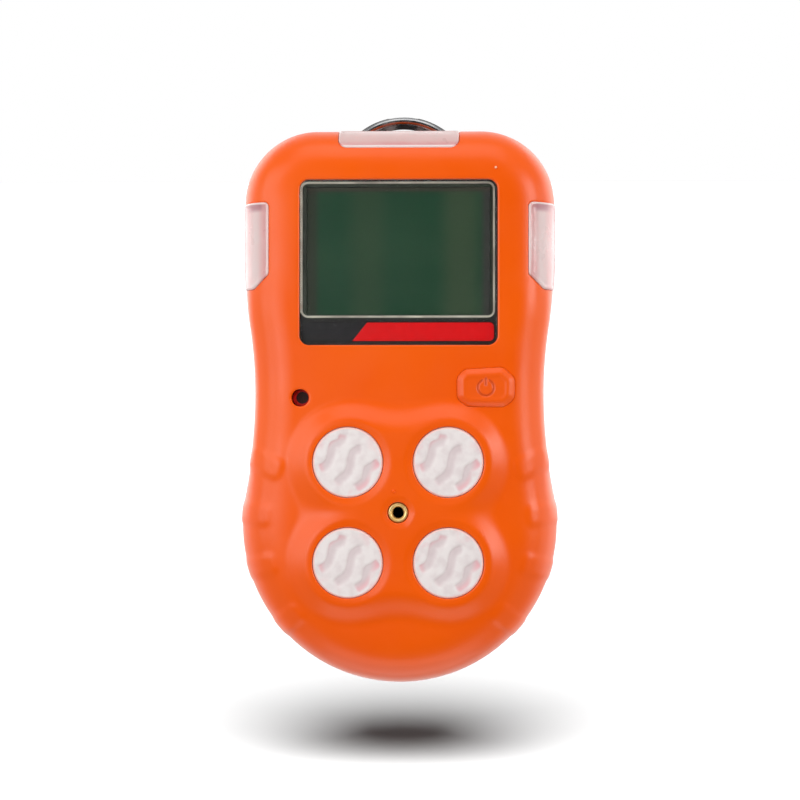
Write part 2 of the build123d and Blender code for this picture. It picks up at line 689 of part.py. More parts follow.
with BuildPart() as motor_cradle:
    with BuildSketch(Plane.XY.offset(MOTOR_BOTTOM + 1)):
        with Locations((MOTOR_X, (board_back + MOTOR_Y) / 2)):
            Rectangle(2 * MOTOR_R + 1.6, MOTOR_Y - board_back - 0.04)
    extrude(amount=7)
    add(upright_rod(MOTOR_R + 0.03, MOTOR_BOTTOM, MOTOR_TOP), mode=Mode.SUBTRACT)
save(motor_cradle.part, "motor_cradle")

with BuildPart() as vibration_weight:
    with BuildSketch(Plane.XY.offset(MOTOR_TOP + 1)):
        with BuildLine():
            weight_arc = CenterArc(motor_centre, 3.1, 180, 180)
            Polyline(weight_arc @ 1, (MOTOR_X + 1.1, MOTOR_Y + 1.1), (MOTOR_X - 1.1, MOTOR_Y + 1.1),
                     weight_arc @ 0)
        make_face()
        with Locations(motor_centre):
            Circle(0.5 + RUNNING_GAP, mode=Mode.SUBTRACT)
    extrude(amount=3.5)
save(vibration_weight.part, "vibration_weight")

# --- Label and charging contacts -----------------------------------------------------------------

save(slab(-label_half + 0.1, label_half - 0.1, LABEL_Z - label_rise + 0.1, LABEL_Z + label_rise - 0.1,
          BACK_Y - LABEL_THICKNESS + 0.02, BACK_Y - 0.05, 1.9), "rear_label")

with BuildPart() as charge_contacts:
    add(discs(contact_holes, 1.4, INNER_BACK_Y + 0.2, BACK_Y - 0.3))
    fillet(charge_contacts.edges().group_by(Axis.Y)[-1], 0.4)
    add(discs(contact_holes, 0.7, SENSOR_BOARD_Y + BOARD + 0.02, INNER_BACK_Y + 0.3))
save(charge_contacts.part, "charge_contacts")

# --- Alligator clip ------------------------------------------------------------------------------

sheet_middle = SHEET / 2


def side_plate(x, profile_points, tip_radius, hole_radius):
    """A sheet cheek that stands on its edge, rounded round the hinge pin, with a hole for it."""
    with BuildPart() as cheek:
        with BuildSketch(Plane.YZ.offset(x)):
            with BuildLine():
                Polyline(*profile_points, close=True)
            make_face()
            with Locations((PIVOT_Y, PIVOT_Z)):
                Circle(tip_radius)
                Circle(hole_radius, mode=Mode.SUBTRACT)
        extrude(amount=SHEET)
    return cheek.part


ear_profile = [
    (CLIP_Y + 0.5, PIVOT_Z - 6), (PIVOT_Y, PIVOT_Z - EAR_TIP_R),
    (PIVOT_Y, PIVOT_Z + EAR_TIP_R), (CLIP_Y + 0.5, PIVOT_Z + 6),
]
clip_face = CLIP_Y + SHEET
with BuildPart() as clip_base:
    add(slab(-CLIP_HALF_WIDTH, CLIP_HALF_WIDTH, CLIP_BOTTOM, CLIP_TOP, CLIP_Y, clip_face, 2.5))
    for x in (-CLIP_HALF_WIDTH, CLIP_HALF_WIDTH - SHEET):
        add(side_plate(x, ear_profile, EAR_TIP_R, PIVOT_R + RUNNING_GAP))
    add(discs(clip_bosses, SCREW_R + 0.1, CLIP_Y, clip_face), mode=Mode.SUBTRACT)
    # pressed rib that the jaw bites on
    with BuildSketch(Plane.YZ.offset(-CLIP_HALF_WIDTH + 1)):
        with Locations((clip_face - 0.3, JAW_Z + 1.2)):
            Circle(0.8)
        with Locations((clip_face - 1.3, JAW_Z + 1.2)):
            Rectangle(1.98, 2, mode=Mode.SUBTRACT)
    extrude(amount=2 * CLIP_HALF_WIDTH - 2)
save(clip_base.part, "clip_base")

save(pan_screws(clip_bosses, clip_face + 0.02, INNER_BACK_Y - 2.2, SCREW_R, 2.2, 1.1), "clip_screws")

plate_y = PIVOT_Y + 4.1
lever_line = [
    (PAD_Y, PAD_TOP - 0.4), (PAD_Y, PAD_TOP - 11), (39.8, 73), (plate_y, 57), (plate_y, 43),
    (34.6, 32), (32.6, 25), (29.9, JAW_Z),
]
with BuildPart() as clip_lever:
    with BuildSketch(Plane.YZ.offset(-PAD_HALF_WIDTH)):
        with BuildLine():
            FilletPolyline(*lever_line, radius=3)
        trace(line_width=SHEET)
    extrude(amount=2 * PAD_HALF_WIDTH)
    # what the sheet is cut to: a crowned pad, a waist at the hinge and a wide jaw
    with BuildSketch(upright(PAD_Y + 3)):
        crown_z = PAD_TOP - PAD_CROWN_R
        with Locations((0, crown_z)):
            Circle(PAD_CROWN_R)
        with Locations((0, crown_z - 3)):
            Rectangle(2 * PAD_CROWN_R, 14, mode=Mode.SUBTRACT)
        Rectangle(2 * PAD_HALF_WIDTH, 2 * PAD_TOP, mode=Mode.INTERSECT)
        with BuildLine():
            Polyline(
                (-PAD_HALF_WIDTH, crown_z + 10), (PAD_HALF_WIDTH, crown_z + 10),
                (PAD_HALF_WIDTH, 66), (LEVER_HALF_WIDTH, 58), (LEVER_HALF_WIDTH, 40),
                (JAW_HALF_WIDTH, 30), (JAW_HALF_WIDTH, JAW_Z - 2), (-JAW_HALF_WIDTH, JAW_Z - 2),
                (-JAW_HALF_WIDTH, 30), (-LEVER_HALF_WIDTH, 40), (-LEVER_HALF_WIDTH, 58),
                (-PAD_HALF_WIDTH, 66), close=True,
            )
        make_face()
    extrude(amount=PAD_Y - 25, mode=Mode.INTERSECT)
    # cheeks that run on the hinge pin
    cheek_profile = [
        (plate_y - 0.2, PIVOT_Z - 6), (PIVOT_Y, PIVOT_Z - 2.5),
        (PIVOT_Y, PIVOT_Z + 2.5), (plate_y - 0.2, PIVOT_Z + 6),
    ]
    for x in (-LEVER_HALF_WIDTH, LEVER_HALF_WIDTH - SHEET):
        add(side_plate(x, cheek_profile, 2.5, PIVOT_R + RUNNING_GAP))
    # slot for a lanyard, under a bead that follows the crown
    with BuildSketch(upright(PAD_Y + 3)):
        with Locations((0, crown_z)):
            Circle(PAD_CROWN_R - 2 * BEAD_R - SLOT_RIM)
        with Locations((0, PAD_TOP - 5.1)):
            Rectangle(16, 6, mode=Mode.INTERSECT)
    extrude(amount=6, mode=Mode.SUBTRACT)
    bead_r = PAD_CROWN_R - BEAD_R
    with BuildLine(Plane(origin=(0, PAD_Y, crown_z), x_dir=(1, 0, 0), z_dir=(0, -1, 0))) as crown_line:
        crown = CenterArc((0, 0), bead_r, 50, 80)
    with BuildSketch(Plane(origin=crown @ 0, z_dir=crown % 0)):
        Circle(BEAD_R)
    sweep(path=crown_line.line)
    # teeth along the jaw
    with BuildSketch(upright(32)):
        for number in range(7):
            with Locations(((number - 3) * 2.2, JAW_Z - 0.4)):
                Rectangle(1.0, 1.6, rotation=45)
    extrude(amount=5, mode=Mode.SUBTRACT)
save(clip_lever.part, "clip_lever")

with BuildPart() as clip_pin:
    with BuildSketch(Plane.YZ.offset(-CLIP_HALF_WIDTH - 0.7)):
        with Locations((PIVOT_Y, PIVOT_Z)):
            Circle(2.0)
    extrude(amount=0.65)
    with BuildSketch(Plane.YZ.offset(-CLIP_HALF_WIDTH - 0.7)):
        with Locations((PIVOT_Y, PIVOT_Z)):
            Circle(PIVOT_R)
    extrude(amount=2 * CLIP_HALF_WIDTH + 1.4)
    with BuildSketch(Plane.YZ.offset(CLIP_HALF_WIDTH + 0.05)):
        with Locations((PIVOT_Y, PIVOT_Z)):
            Circle(1.8)
    extrude(amount=0.6)
save(clip_pin.part, "clip_pin")

coil_length = COIL_PITCH * COIL_TURNS
coil_plane = Plane(origin=(-coil_length / 2, PIVOT_Y, PIVOT_Z), x_dir=(0, 1, 0), z_dir=(1, 0, 0))
coil = coil_plane * Helix(COIL_PITCH, coil_length, COIL_R, lefthand=True)
lever_leg = Line(coil @ 0, (-coil_length / 2, plate_y - 0.95, PIVOT_Z + 9))
base_leg = Line(coil @ 1, (coil_length / 2, clip_face + 0.5, PIVOT_Z + 9))
with BuildPart() as clip_spring:
    with BuildSketch(Plane(origin=coil @ 0, z_dir=coil % 0)):
        Circle(WIRE_R)
    sweep(path=coil, is_frenet=True)
    for leg in (lever_leg, base_leg):
        with BuildSketch(Plane(origin=leg @ 0, z_dir=leg % 0)):
            Circle(WIRE_R)
        sweep(path=leg)
        with Locations(leg @ 0):
            Sphere(WIRE_R)
save(clip_spring.part, "clip_spring")
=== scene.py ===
"""Looks of a portable four-gas detector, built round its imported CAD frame.

Shapes are worked out in millimetres in the frame's own axes and turned into metres when a mesh
is made. The two housing skins and the alarm lenses are unrolled flat, triangulated, and folded
back over the edge.
"""

import math

import bmesh
import bpy
import numpy as np
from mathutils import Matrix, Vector, geometry, kdtree


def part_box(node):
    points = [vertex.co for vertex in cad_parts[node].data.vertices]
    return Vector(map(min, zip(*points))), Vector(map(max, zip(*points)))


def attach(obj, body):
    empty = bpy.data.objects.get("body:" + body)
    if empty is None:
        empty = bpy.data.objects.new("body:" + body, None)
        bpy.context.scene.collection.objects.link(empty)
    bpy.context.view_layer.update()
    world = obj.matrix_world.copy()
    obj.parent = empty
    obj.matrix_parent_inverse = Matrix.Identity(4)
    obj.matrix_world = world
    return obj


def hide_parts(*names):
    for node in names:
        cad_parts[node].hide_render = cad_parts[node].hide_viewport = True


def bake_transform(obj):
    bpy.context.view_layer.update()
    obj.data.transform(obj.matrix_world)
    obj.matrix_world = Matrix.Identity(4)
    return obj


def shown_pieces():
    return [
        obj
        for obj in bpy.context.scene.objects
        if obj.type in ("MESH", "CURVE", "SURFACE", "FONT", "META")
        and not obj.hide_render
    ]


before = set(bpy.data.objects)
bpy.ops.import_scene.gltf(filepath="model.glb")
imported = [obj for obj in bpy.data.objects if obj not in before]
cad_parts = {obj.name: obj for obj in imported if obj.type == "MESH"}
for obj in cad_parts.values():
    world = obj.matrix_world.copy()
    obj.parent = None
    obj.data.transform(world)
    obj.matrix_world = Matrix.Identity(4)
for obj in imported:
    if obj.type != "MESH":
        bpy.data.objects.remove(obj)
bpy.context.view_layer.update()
scene = bpy.context.scene
MM = 0.001


def box_mm(node):
    """Lowest and highest corner of a CAD node, in millimetres."""
    low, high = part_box(node)
    return np.array(low) / MM, np.array(high) / MM


def middle_of(node):
    """The middle of a CAD node seen from the front, as (x, z)."""
    low, high = box_mm(node)
    return (low[::2] + high[::2]) / 2


def half_of(node):
    """Half the width and half the height of a CAD node seen from the front."""
    low, high = box_mm(node)
    return (high[::2] - low[::2]) / 2


# --- Sizes, in millimetres, the same as the CAD's ---

GASKET_INSET = 0.65
gasket_low, gasket_high = box_mm("housing_gasket")
TOP_Z = gasket_high[2] + GASKET_INSET
BULGE_R = gasket_high[0] + GASKET_INSET
BULGE_Z = gasket_low[2] - GASKET_INSET + BULGE_R
CORNER_R = 16.2
HALF_TOP = 34.1
SHOULDER_Z = 56.0
HALF_WAIST = 31.7
WAIST_Z = 26.0
BULGE_BLEND_R = 35.0

PARTING_Y = 14.0
FACE_Y = 1.6
PLATFORM_Y = box_mm("front_shell")[0][1]
BACK_Y = 28.0
WALL = 1.7
LENS_BACK_Y = box_mm("alarm_lens_top")[1][1]
LENS_THICKNESS = 1.9
LENS_GAP = 0.08
SIDE_LENS_DROP = 3.3
SIDE_LENS_SLANT = 1.03

GRIP_RISE = 0.26
GRIP_ANGLES = [25.0, 4.5, -16.5, -40.5]
GRIP_LENGTH = 5.6
GRIP_REACH = 9.0
GRIP_INSET = 2.5

PORTS = ["upper_left", "upper_right", "lower_left", "lower_right"]
PORT_CENTRES = [middle_of(f"filter_{name}") for name in PORTS]
PORT_R = 7.72
LOBE_R = 10.0
LOBE_SLOPE = 5.4
# How sharply the clover's lobes melt together: the higher, the sharper
LOBE_MELT = 0.42
# How far the melting swells the lobes
LOBE_SWELL = 1.6
# Two more lobes fill the clover between its upper and between its lower ports
FILL_LOBE_Z = 8
FILL_LOBE_R = LOBE_R + 0.3
PORT_DISH_DEPTH = 0.28
INSERT_DISH_R = 3.0
INSERT_DISH_DEPTH = 0.3

# The inner loop, where the edge profiles start
EDGE = 13.0
# Edge profiles as (inset from the outline, depth): a soft one, one with a crease near the outline,
# and the rear shell's
FRONT_SOFT = [(EDGE, 1.6), (11.5, 1.61), (10.0, 1.66), (8.5, 1.79), (7.0, 2.06), (5.5, 2.56),
              (4.0, 3.4), (2.6, 4.65), (1.3, 6.5), (0.4, 8.8), (0.0, 11.0), (0.0, 12.4),
              (0.0, PARTING_Y)]
FRONT_CRISP = [(EDGE, 1.6), (10.0, 1.6), (8.5, 1.6), (6.5, 1.81), (4.7, 2.36), (3.0, 3.38),
               (2.0, 4.22), (1.0, 5.33), (0.3, 6.83), (0.0, 8.5), (0.0, 10.4), (0.0, 12.0),
               (0.0, PARTING_Y)]
BACK_PROFILE = [(EDGE, BACK_Y), (10.0, BACK_Y), (7.4, BACK_Y), (6.0, 27.95), (4.6, 27.75),
                (3.0, 26.95), (1.6, 25.7), (0.6, 24.0), (0.08, 22.2), (0.0, 20.0), (0.0, 17.0),
                (0.0, PARTING_Y)]
# The heights between which the edge turns from soft to creased, and back
CRISP_FROM = (-2.0, 14.0)
CRISP_TO = (43.0, 55.0)

SHELL_SPACING = 0.62
LENS_SPACING = 0.5
LOOP_STEP = 0.42
OUTLINE_STEP = 0.4
RIM_STEP = 0.6
# Height of a row in a triangular grid, and how clear of the loops its points stay, in spacings
HEX_RISE = 0.866
GRID_GAP = 0.55
# Half the step, as a share of an edge profile, over which its slope is measured
SLOPE_STEP = 0.004

# How far the surface sinks near a hole's edge, as (distance from the edge, relief)
LIP = [(0.0, -0.2), (0.08, -0.08), (0.2, -0.015), (0.4, 0.0)]
NIBS = [(21.2, 75.0), (-0.9, 4.65)]
NIB_RINGS = [(0.16, 0.32), (0.42, 0.0)]
SEAM = [(0.0, -0.16), (0.14, -0.05), (0.32, 0.0)]
LENS_RIM = [(0.0, -0.06), (0.1, 0.07), (0.25, 0.16), (0.5, 0.2)]


# --- Plane geometry ---


def smoothstep(low, high, value):
    """0 below low, 1 above high, and smooth between."""
    share = np.clip((value - low) / (high - low), 0, 1)
    return share * share * (3 - 2 * share)


def unit(vectors):
    return vectors / np.linalg.norm(vectors, axis=-1, keepdims=True)


def bend_arcs(drop, shift, end_radius=None):
    """Length and curvature of the two arcs of an S-bend that is upright at both ends."""
    turn = 2 * math.atan2(abs(shift), drop)
    both = drop / math.sin(turn)
    last = end_radius or both / 2
    first = both - last
    side = 1 if shift < 0 else -1
    return [(first * turn, side / first), (last * turn, -side / last)]


def step_along(here, heading, along, curvature):
    """The point reached along a run that bends to the right, and the heading there."""
    turned = heading - along * curvature
    if not curvature:
        return here + along * np.array([math.cos(heading), math.sin(heading)]), turned
    reach = [math.sin(heading) - math.sin(turned), math.cos(turned) - math.cos(heading)]
    return here + np.array(reach) / curvature, turned


def walk(runs, step):
    """Points and left-hand normals along runs of (length, curvature), from the top centre."""
    stops = []
    here, heading = np.array([0.0, TOP_Z]), 0.0
    for length, curvature in runs:
        count = max(2, math.ceil(length / step))
        stops += [step_along(here, heading, length * number / count, curvature)
                  for number in range(count)]
        here, heading = step_along(here, heading, length, curvature)
    stops.append((here, heading))
    points = np.array([point for point, _ in stops])
    return points, np.array([[-math.sin(turned), math.cos(turned)] for _, turned in stops])


def outline():
    """The body's outline from the front, anticlockwise from the top, and its outward normals."""
    runs = [(HALF_TOP - CORNER_R, 0.0), (CORNER_R * math.pi / 2, 1 / CORNER_R)]
    runs += [(TOP_Z - CORNER_R - SHOULDER_Z, 0.0)]
    runs += bend_arcs(SHOULDER_Z - WAIST_Z, HALF_WAIST - HALF_TOP)
    runs += bend_arcs(WAIST_Z - BULGE_Z, BULGE_R - HALF_WAIST, BULGE_BLEND_R)
    runs += [(BULGE_R * math.pi / 2, 1 / BULGE_R)]
    right, right_normals = walk(runs, OUTLINE_STEP)
    flip = np.array([-1.0, 1.0])
    points = np.vstack([right * flip, right[::-1][1:-1]])
    normals = np.vstack([right_normals * flip, right_normals[::-1][1:-1]])
    return points, normals


def anticlockwise(loop):
    following = np.roll(loop, -1, axis=0)
    area = np.sum(loop[:, 0] * following[:, 1] - loop[:, 1] * following[:, 0])
    return loop if area > 0 else loop[::-1]


def densify(loop, step):
    """The closed loop with long edges divided."""
    points = []
    for start, end in zip(loop, np.roll(loop, -1, axis=0)):
        count = max(1, math.ceil(np.linalg.norm(end - start) / step - 0.2))
        points += [start + (end - start) * number / count for number in range(count)]
    return np.array(points)


def rounded_loop(corners, radius, step=LOOP_STEP):
    """An anticlockwise loop round the corners, each rounded by an arc."""
    corners = anticlockwise(np.array(corners, float))
    points = []
    for number, corner in enumerate(corners):
        before = unit(corners[number - 1] - corner)
        after = unit(corners[(number + 1) % len(corners)] - corner)
        half = math.acos(np.clip(before @ after, -1, 1)) / 2
        centre = corner + unit(before + after) * radius / math.sin(half)
        start = corner + before * radius / math.tan(half) - centre
        sweep = math.pi - 2 * half
        count = max(2, math.ceil(sweep * radius / step))
        for share in np.linspace(0, sweep, count + 1):
            c, s = math.cos(share), math.sin(share)
            turned = [c * start[0] - s * start[1], s * start[0] + c * start[1]]
            points.append(centre + np.array(turned))
    return densify(np.array(points), step)


def circle(centre, radius, step=LOOP_STEP):
    count = max(24, math.ceil(2 * math.pi * radius / step))
    turns = np.linspace(0, 2 * math.pi, count, endpoint=False)
    return np.array(centre) + radius * np.column_stack([np.cos(turns), np.sin(turns)])


def rectangle(left, right, bottom, top):
    return [(left, bottom), (right, bottom), (right, top), (left, top)]


def rectangle_of(node, grow):
    """The corners of a CAD node's box seen from the front, moved outwards."""
    low, high = box_mm(node)
    return rectangle(low[0] - grow, high[0] + grow, low[2] - grow, high[2] + grow)


def offset_loop(loop, amount):
    """The anticlockwise loop moved outwards by amount."""
    along = unit(np.roll(loop, -1, axis=0) - loop)
    before = np.roll(along, 1, axis=0)
    tangent = unit(along + before)
    stretch = np.maximum(np.sum(tangent * along, axis=1), 0.5)
    outward = np.column_stack([tangent[:, 1], -tangent[:, 0]])
    return loop + outward * (amount / stretch)[:, None]


def contains(loop, points):
    """Whether each point lies inside the closed loop."""
    found = np.zeros(len(points), bool)
    low, high = loop.min(0), loop.max(0)
    near = np.flatnonzero(np.all((points >= low) & (points <= high), axis=1))
    x, y = points[near, 0], points[near, 1]
    odd = np.zeros(len(near), bool)
    for (ax, ay), (bx, by) in zip(loop, np.roll(loop, -1, axis=0)):
        if ay == by:
            continue
        crosses = (ay > y) != (by > y)
        odd ^= crosses & (x < (bx - ax) * (y - ay) / (by - ay) + ax)
    found[near] = odd
    return found


def tree_of(points):
    tree = kdtree.KDTree(len(points))
    for number, (x, z) in enumerate(points):
        tree.insert((x, z, 0), number)
    tree.balance()
    return tree


def nearest_on(loop, points, tree=None):
    """Where the loop is nearest to each point: first vertex, share of the edge, foot, distance."""
    tree = tree or tree_of(loop)
    close = np.array([tree.find((x, z, 0))[1] for x, z in points])
    best = np.full(len(points), np.inf)
    first = np.zeros(len(points), int)
    share = np.zeros(len(points))
    foot = np.zeros((len(points), 2))
    for step in (-1, 0):
        a = (close + step) % len(loop)
        edge = loop[(a + 1) % len(loop)] - loop[a]
        along = np.clip(np.sum((points - loop[a]) * edge, 1) / np.sum(edge * edge, 1), 0, 1)
        touch = loop[a] + edge * along[:, None]
        far = np.linalg.norm(points - touch, axis=1)
        better = far < best
        best[better] = far[better]
        first[better], share[better], foot[better] = a[better], along[better], touch[better]
    return first, share, foot, best


def hex_grid(low, high, spacing):
    """Points of a triangular grid that covers the rectangle, the same on both sides of x = 0."""
    rise = spacing * HEX_RISE
    points = []
    for row in range(math.floor(low[1] / rise), math.ceil(high[1] / rise) + 1):
        x = np.arange(math.floor(low[0] / spacing), math.ceil(high[0] / spacing) + 1) * spacing
        x = x + (spacing / 2 if row % 2 else 0)
        points.append(np.column_stack([x, np.full(len(x), row * spacing * HEX_RISE)]))
    points = np.vstack(points)
    return points[np.all((points > low) & (points < high), axis=1)]


def triangulate(outer, holes, extra, spacing):
    """Triangles that fill the region between loops: the points, the faces and each loop's points.

    outer and each of holes is a list of loops, the boundary first and its rings after it.
    """
    loops = list(outer) + [ring for hole in holes for ring in hole] + list(extra)
    boundary = outer[0]
    edges, points, start = [], [], 0
    for loop in loops:
        numbers = np.arange(len(loop)) + start
        edges += list(zip(numbers.tolist(), np.roll(numbers, -1).tolist()))
        points.append(loop)
        start += len(loop)
    fixed = np.vstack(points)
    grid = hex_grid(boundary.min(0), boundary.max(0), spacing)
    keep = contains(boundary, grid)
    for hole in holes:
        keep &= ~contains(hole[0], grid)
    grid = grid[keep]
    tree = tree_of(fixed)
    clear = np.array([tree.find((x, z, 0))[2] for x, z in grid]) > GRID_GAP * spacing
    points = np.vstack([fixed, grid[clear]])
    made = geometry.delaunay_2d_cdt([Vector(p) for p in points], edges, [], 0, 1e-7, True)
    verts, _, faces, origins = made[:4]
    verts = np.array([tuple(v) for v in verts])
    faces = np.array([f for f in faces if len(f) == 3])
    centres = verts[faces].mean(axis=1)
    inside = contains(boundary, centres)
    for hole in holes:
        inside &= ~contains(hole[0], centres)
    faces = faces[inside]
    number_of = {old: new for new, olds in enumerate(origins) for old in olds}
    rings, start = [], 0
    for loop in loops:
        rings.append([number_of[start + n] for n in range(len(loop))])
        start += len(loop)
    return verts, faces, rings


def smooth_curve(knots, count=500):
    """A smooth curve through the knots, sampled evenly by length, and its length."""
    knots = np.array(knots, float)
    t = np.concatenate([[0], np.cumsum(np.linalg.norm(np.diff(knots, axis=0), axis=1))])
    slopes = np.gradient(knots, t, axis=0)
    u = np.linspace(0, t[-1], count * 4)
    first = np.clip(np.searchsorted(t, u, "right") - 1, 0, len(t) - 2)
    gap = (t[first + 1] - t[first])[:, None]
    f = (u - t[first])[:, None] / gap
    dense = ((2 * f**3 - 3 * f**2 + 1) * knots[first] + (f**3 - 2 * f**2 + f) * gap * slopes[first]
             + (3 * f**2 - 2 * f**3) * knots[first + 1] + (f**3 - f**2) * gap * slopes[first + 1])
    walked = np.concatenate([[0], np.cumsum(np.linalg.norm(np.diff(dense, axis=0), axis=1))])
    even = np.linspace(0, walked[-1], count)
    return np.column_stack([np.interp(even, walked, dense[:, k]) for k in (0, 1)]), walked[-1]


# --- The housing's surface, unrolled ---

OUTLINE, OUTLINE_NORMALS = outline()
INNER_LOOP = OUTLINE - OUTLINE_NORMALS * EDGE
OUTLINE_TREE = tree_of(OUTLINE)
INNER_TREE = tree_of(INNER_LOOP)


def normals_at(first, share):
    after, share = (first + 1) % len(OUTLINE), share[:, None]
    return unit(OUTLINE_NORMALS[first] * (1 - share) + OUTLINE_NORMALS[after] * share)


def crispness(z):
    """How much of the creased profile the edge has at that height."""
    return smoothstep(*CRISP_FROM, z) * (1 - smoothstep(*CRISP_TO, z))


class Skin:
    """One half of the housing's surface. A flat point is (x, z) inside the inner loop. Outside it,
    it is the loop's nearest point plus the distance walked over the edge to the parting line."""

    def __init__(self, soft, crisp, front):
        self.soft, self.length = smooth_curve(soft)
        self.crisp, _ = smooth_curve(crisp)
        self.front = front
        self.shares = np.linspace(0, 1, len(self.soft))

    def profile(self, share, z, part):
        soft = np.interp(share, self.shares, self.soft[:, part])
        crisp = np.interp(share, self.shares, self.crisp[:, part])
        weight = crispness(z)
        return soft * (1 - weight) + crisp * weight

    def flatten(self, points):
        """Flat points of surface points given by their (x, z)."""
        points = np.array(points, float)
        first, share, foot, far = nearest_on(OUTLINE, points, OUTLINE_TREE)
        normal = normals_at(first, share)
        base = foot - normal * EDGE
        flat = points.copy()
        for n in np.flatnonzero(far < EDGE):
            weight = crispness(base[n, 1])
            insets = self.soft[:, 0] * (1 - weight) + self.crisp[:, 0] * weight
            reached = np.interp(far[n], insets[::-1], self.shares[::-1])
            flat[n] = base[n] + normal[n] * reached * self.length
        return flat

    def fold(self, flat):
        """Surface points and outward normals of flat points."""
        first, share, foot, _ = nearest_on(INNER_LOOP, flat, INNER_TREE)
        normal = normals_at(first, share)
        out = np.sum((flat - foot) * normal, axis=1)
        reached = np.clip(out / self.length, 0, 1)
        z = foot[:, 1]
        inset, depth = self.profile(reached, z, 0), self.profile(reached, z, 1)
        ahead = np.clip(reached + SLOPE_STEP, 0, 1)
        behind = np.clip(reached - SLOPE_STEP, 0, 1)
        across = self.profile(behind, z, 0) - self.profile(ahead, z, 0)
        down = self.profile(ahead, z, 1) - self.profile(behind, z, 1)
        side = 1 if self.front else -1
        size = np.hypot(across, down)
        tilt, facing = side * down / size, -side * across / size
        on_face = out <= 0
        plane = np.where(on_face[:, None], flat, foot + normal * (EDGE - inset)[:, None])
        points = np.column_stack([plane[:, 0], depth, plane[:, 1]])
        normals = np.column_stack([normal[:, 0] * tilt, facing, normal[:, 1] * tilt])
        normals[on_face] = [0, -side, 0]
        return points, normals

    def reach_at(self, depth):
        """Distance over the edge, from the inner loop, at which the wall has a depth."""
        order = 1 if self.front else -1
        return np.interp(depth, self.soft[::order, 1], self.shares[::order]) * self.length

    def rim(self, depth):
        """The flat loop round the whole body at a depth on the outer wall."""
        return densify(INNER_LOOP + OUTLINE_NORMALS * self.reach_at(depth), RIM_STEP)

    def over_edge(self, corners, radius, depth):
        """A flat loop that follows the corners on the face and runs over the edge to a depth."""
        loop = rounded_loop(corners, radius)
        inside = contains(OUTLINE, loop)
        begin = int(np.flatnonzero(inside & ~np.roll(inside, 1))[0])
        chain = np.roll(loop, -begin, axis=0)[np.roll(inside, -begin)]
        flat = self.flatten(chain)
        reach = self.reach_at(depth)
        first, share, foot, _ = nearest_on(OUTLINE, chain[[-1, 0]], OUTLINE_TREE)
        start, end = sorted(first + share)
        onward = start == (first + share)[0]
        if end - start > len(OUTLINE) / 2:
            start, end, onward = end, start + len(OUTLINE), not onward
        numbers = np.arange(math.ceil(start) + 1, math.floor(end)) % len(OUTLINE)
        if not onward:
            numbers = numbers[::-1]
        normal = normals_at(first, share)
        ends = foot - normal * EDGE + normal * reach
        back = INNER_LOOP[numbers] + OUTLINE_NORMALS[numbers] * reach
        return anticlockwise(densify(np.vstack([flat, ends[:1], back, ends[1:]]), LOOP_STEP))


def add_object(name, data):
    made = bpy.data.objects.new(name, data)
    scene.collection.objects.link(made)
    return made


def mesh_object(name, shape, material, body="housing", sharp=40):
    """A new piece from a shape, which is its points in millimetres and its faces."""
    points, faces = shape
    mesh = bpy.data.meshes.new(name)
    mesh.from_pydata((np.array(points) * MM).tolist(), [], [list(map(int, f)) for f in faces])
    work = bmesh.new()
    work.from_mesh(mesh)
    bmesh.ops.recalc_face_normals(work, faces=work.faces)
    work.to_mesh(mesh)
    work.free()
    mesh.shade_smooth()
    mesh.set_sharp_from_angle(angle=math.radians(sharp))
    mesh.materials.append(material)
    piece = add_object(name, mesh)
    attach(piece, body)
    return piece


def side_faces(first, second):
    """Quads between two rings of point numbers."""
    return list(zip(first, first[1:] + first[:1], second[1:] + second[:1], second))


def walled(outside, inside, faces, rings):
    """A closed shape from two sheets with the same faces, joined along the rings."""
    count = len(outside)
    all_faces = [tuple(f) for f in faces] + [tuple(f[::-1] + count) for f in faces]
    for ring in rings:
        all_faces += side_faces(ring, [number + count for number in ring])
    return np.vstack([outside, inside]), all_faces


def at_depth(flat, y):
    """Points (x, z) set at one depth or at a depth each."""
    return np.column_stack([flat[:, 0], np.broadcast_to(y, len(flat)), flat[:, 1]])


def skin_mesh(skin, outer, outer_rings, holes, extra, spacing, relief, thickness):
    """A closed wall over part of a skin. Holes are (loop, how much its lip sinks)."""
    outer_loops = [offset_loop(outer, -gap) if gap else outer for gap, _ in outer_rings]
    hole_loops = [[offset_loop(hole, gap) if gap else hole for gap, _ in LIP] for hole, _ in holes]
    flat, faces, rings = triangulate(outer_loops, hole_loops, [loop for loop, _ in extra], spacing)
    points, normals = skin.fold(flat)
    raised = relief(points) if relief else np.zeros(len(points))
    heights = [height for _, height in outer_rings]
    heights += [height * sunk for _, sunk in holes for _, height in LIP]
    heights += [height for _, height in extra]
    for ring, height in zip(rings, heights):
        raised[ring] += height
    outside = points + normals * raised[:, None]
    inside = outside - normals * thickness
    if not skin.front:
        faces = faces[:, ::-1]
    starts = [0] + [len(outer_rings) + number * len(LIP) for number in range(len(holes))]
    return walled(outside, inside, faces, [rings[start] for start in starts])


# --- Relief on the housing ---


def rounded_box_distance(x, z, half_x, half_z, radius):
    """Signed distance to a rounded rectangle round the origin."""
    dx, dz = np.abs(x) - half_x + radius, np.abs(z) - half_z + radius
    outer = np.hypot(np.maximum(dx, 0), np.maximum(dz, 0))
    return outer + np.minimum(np.maximum(dx, dz), 0) - radius


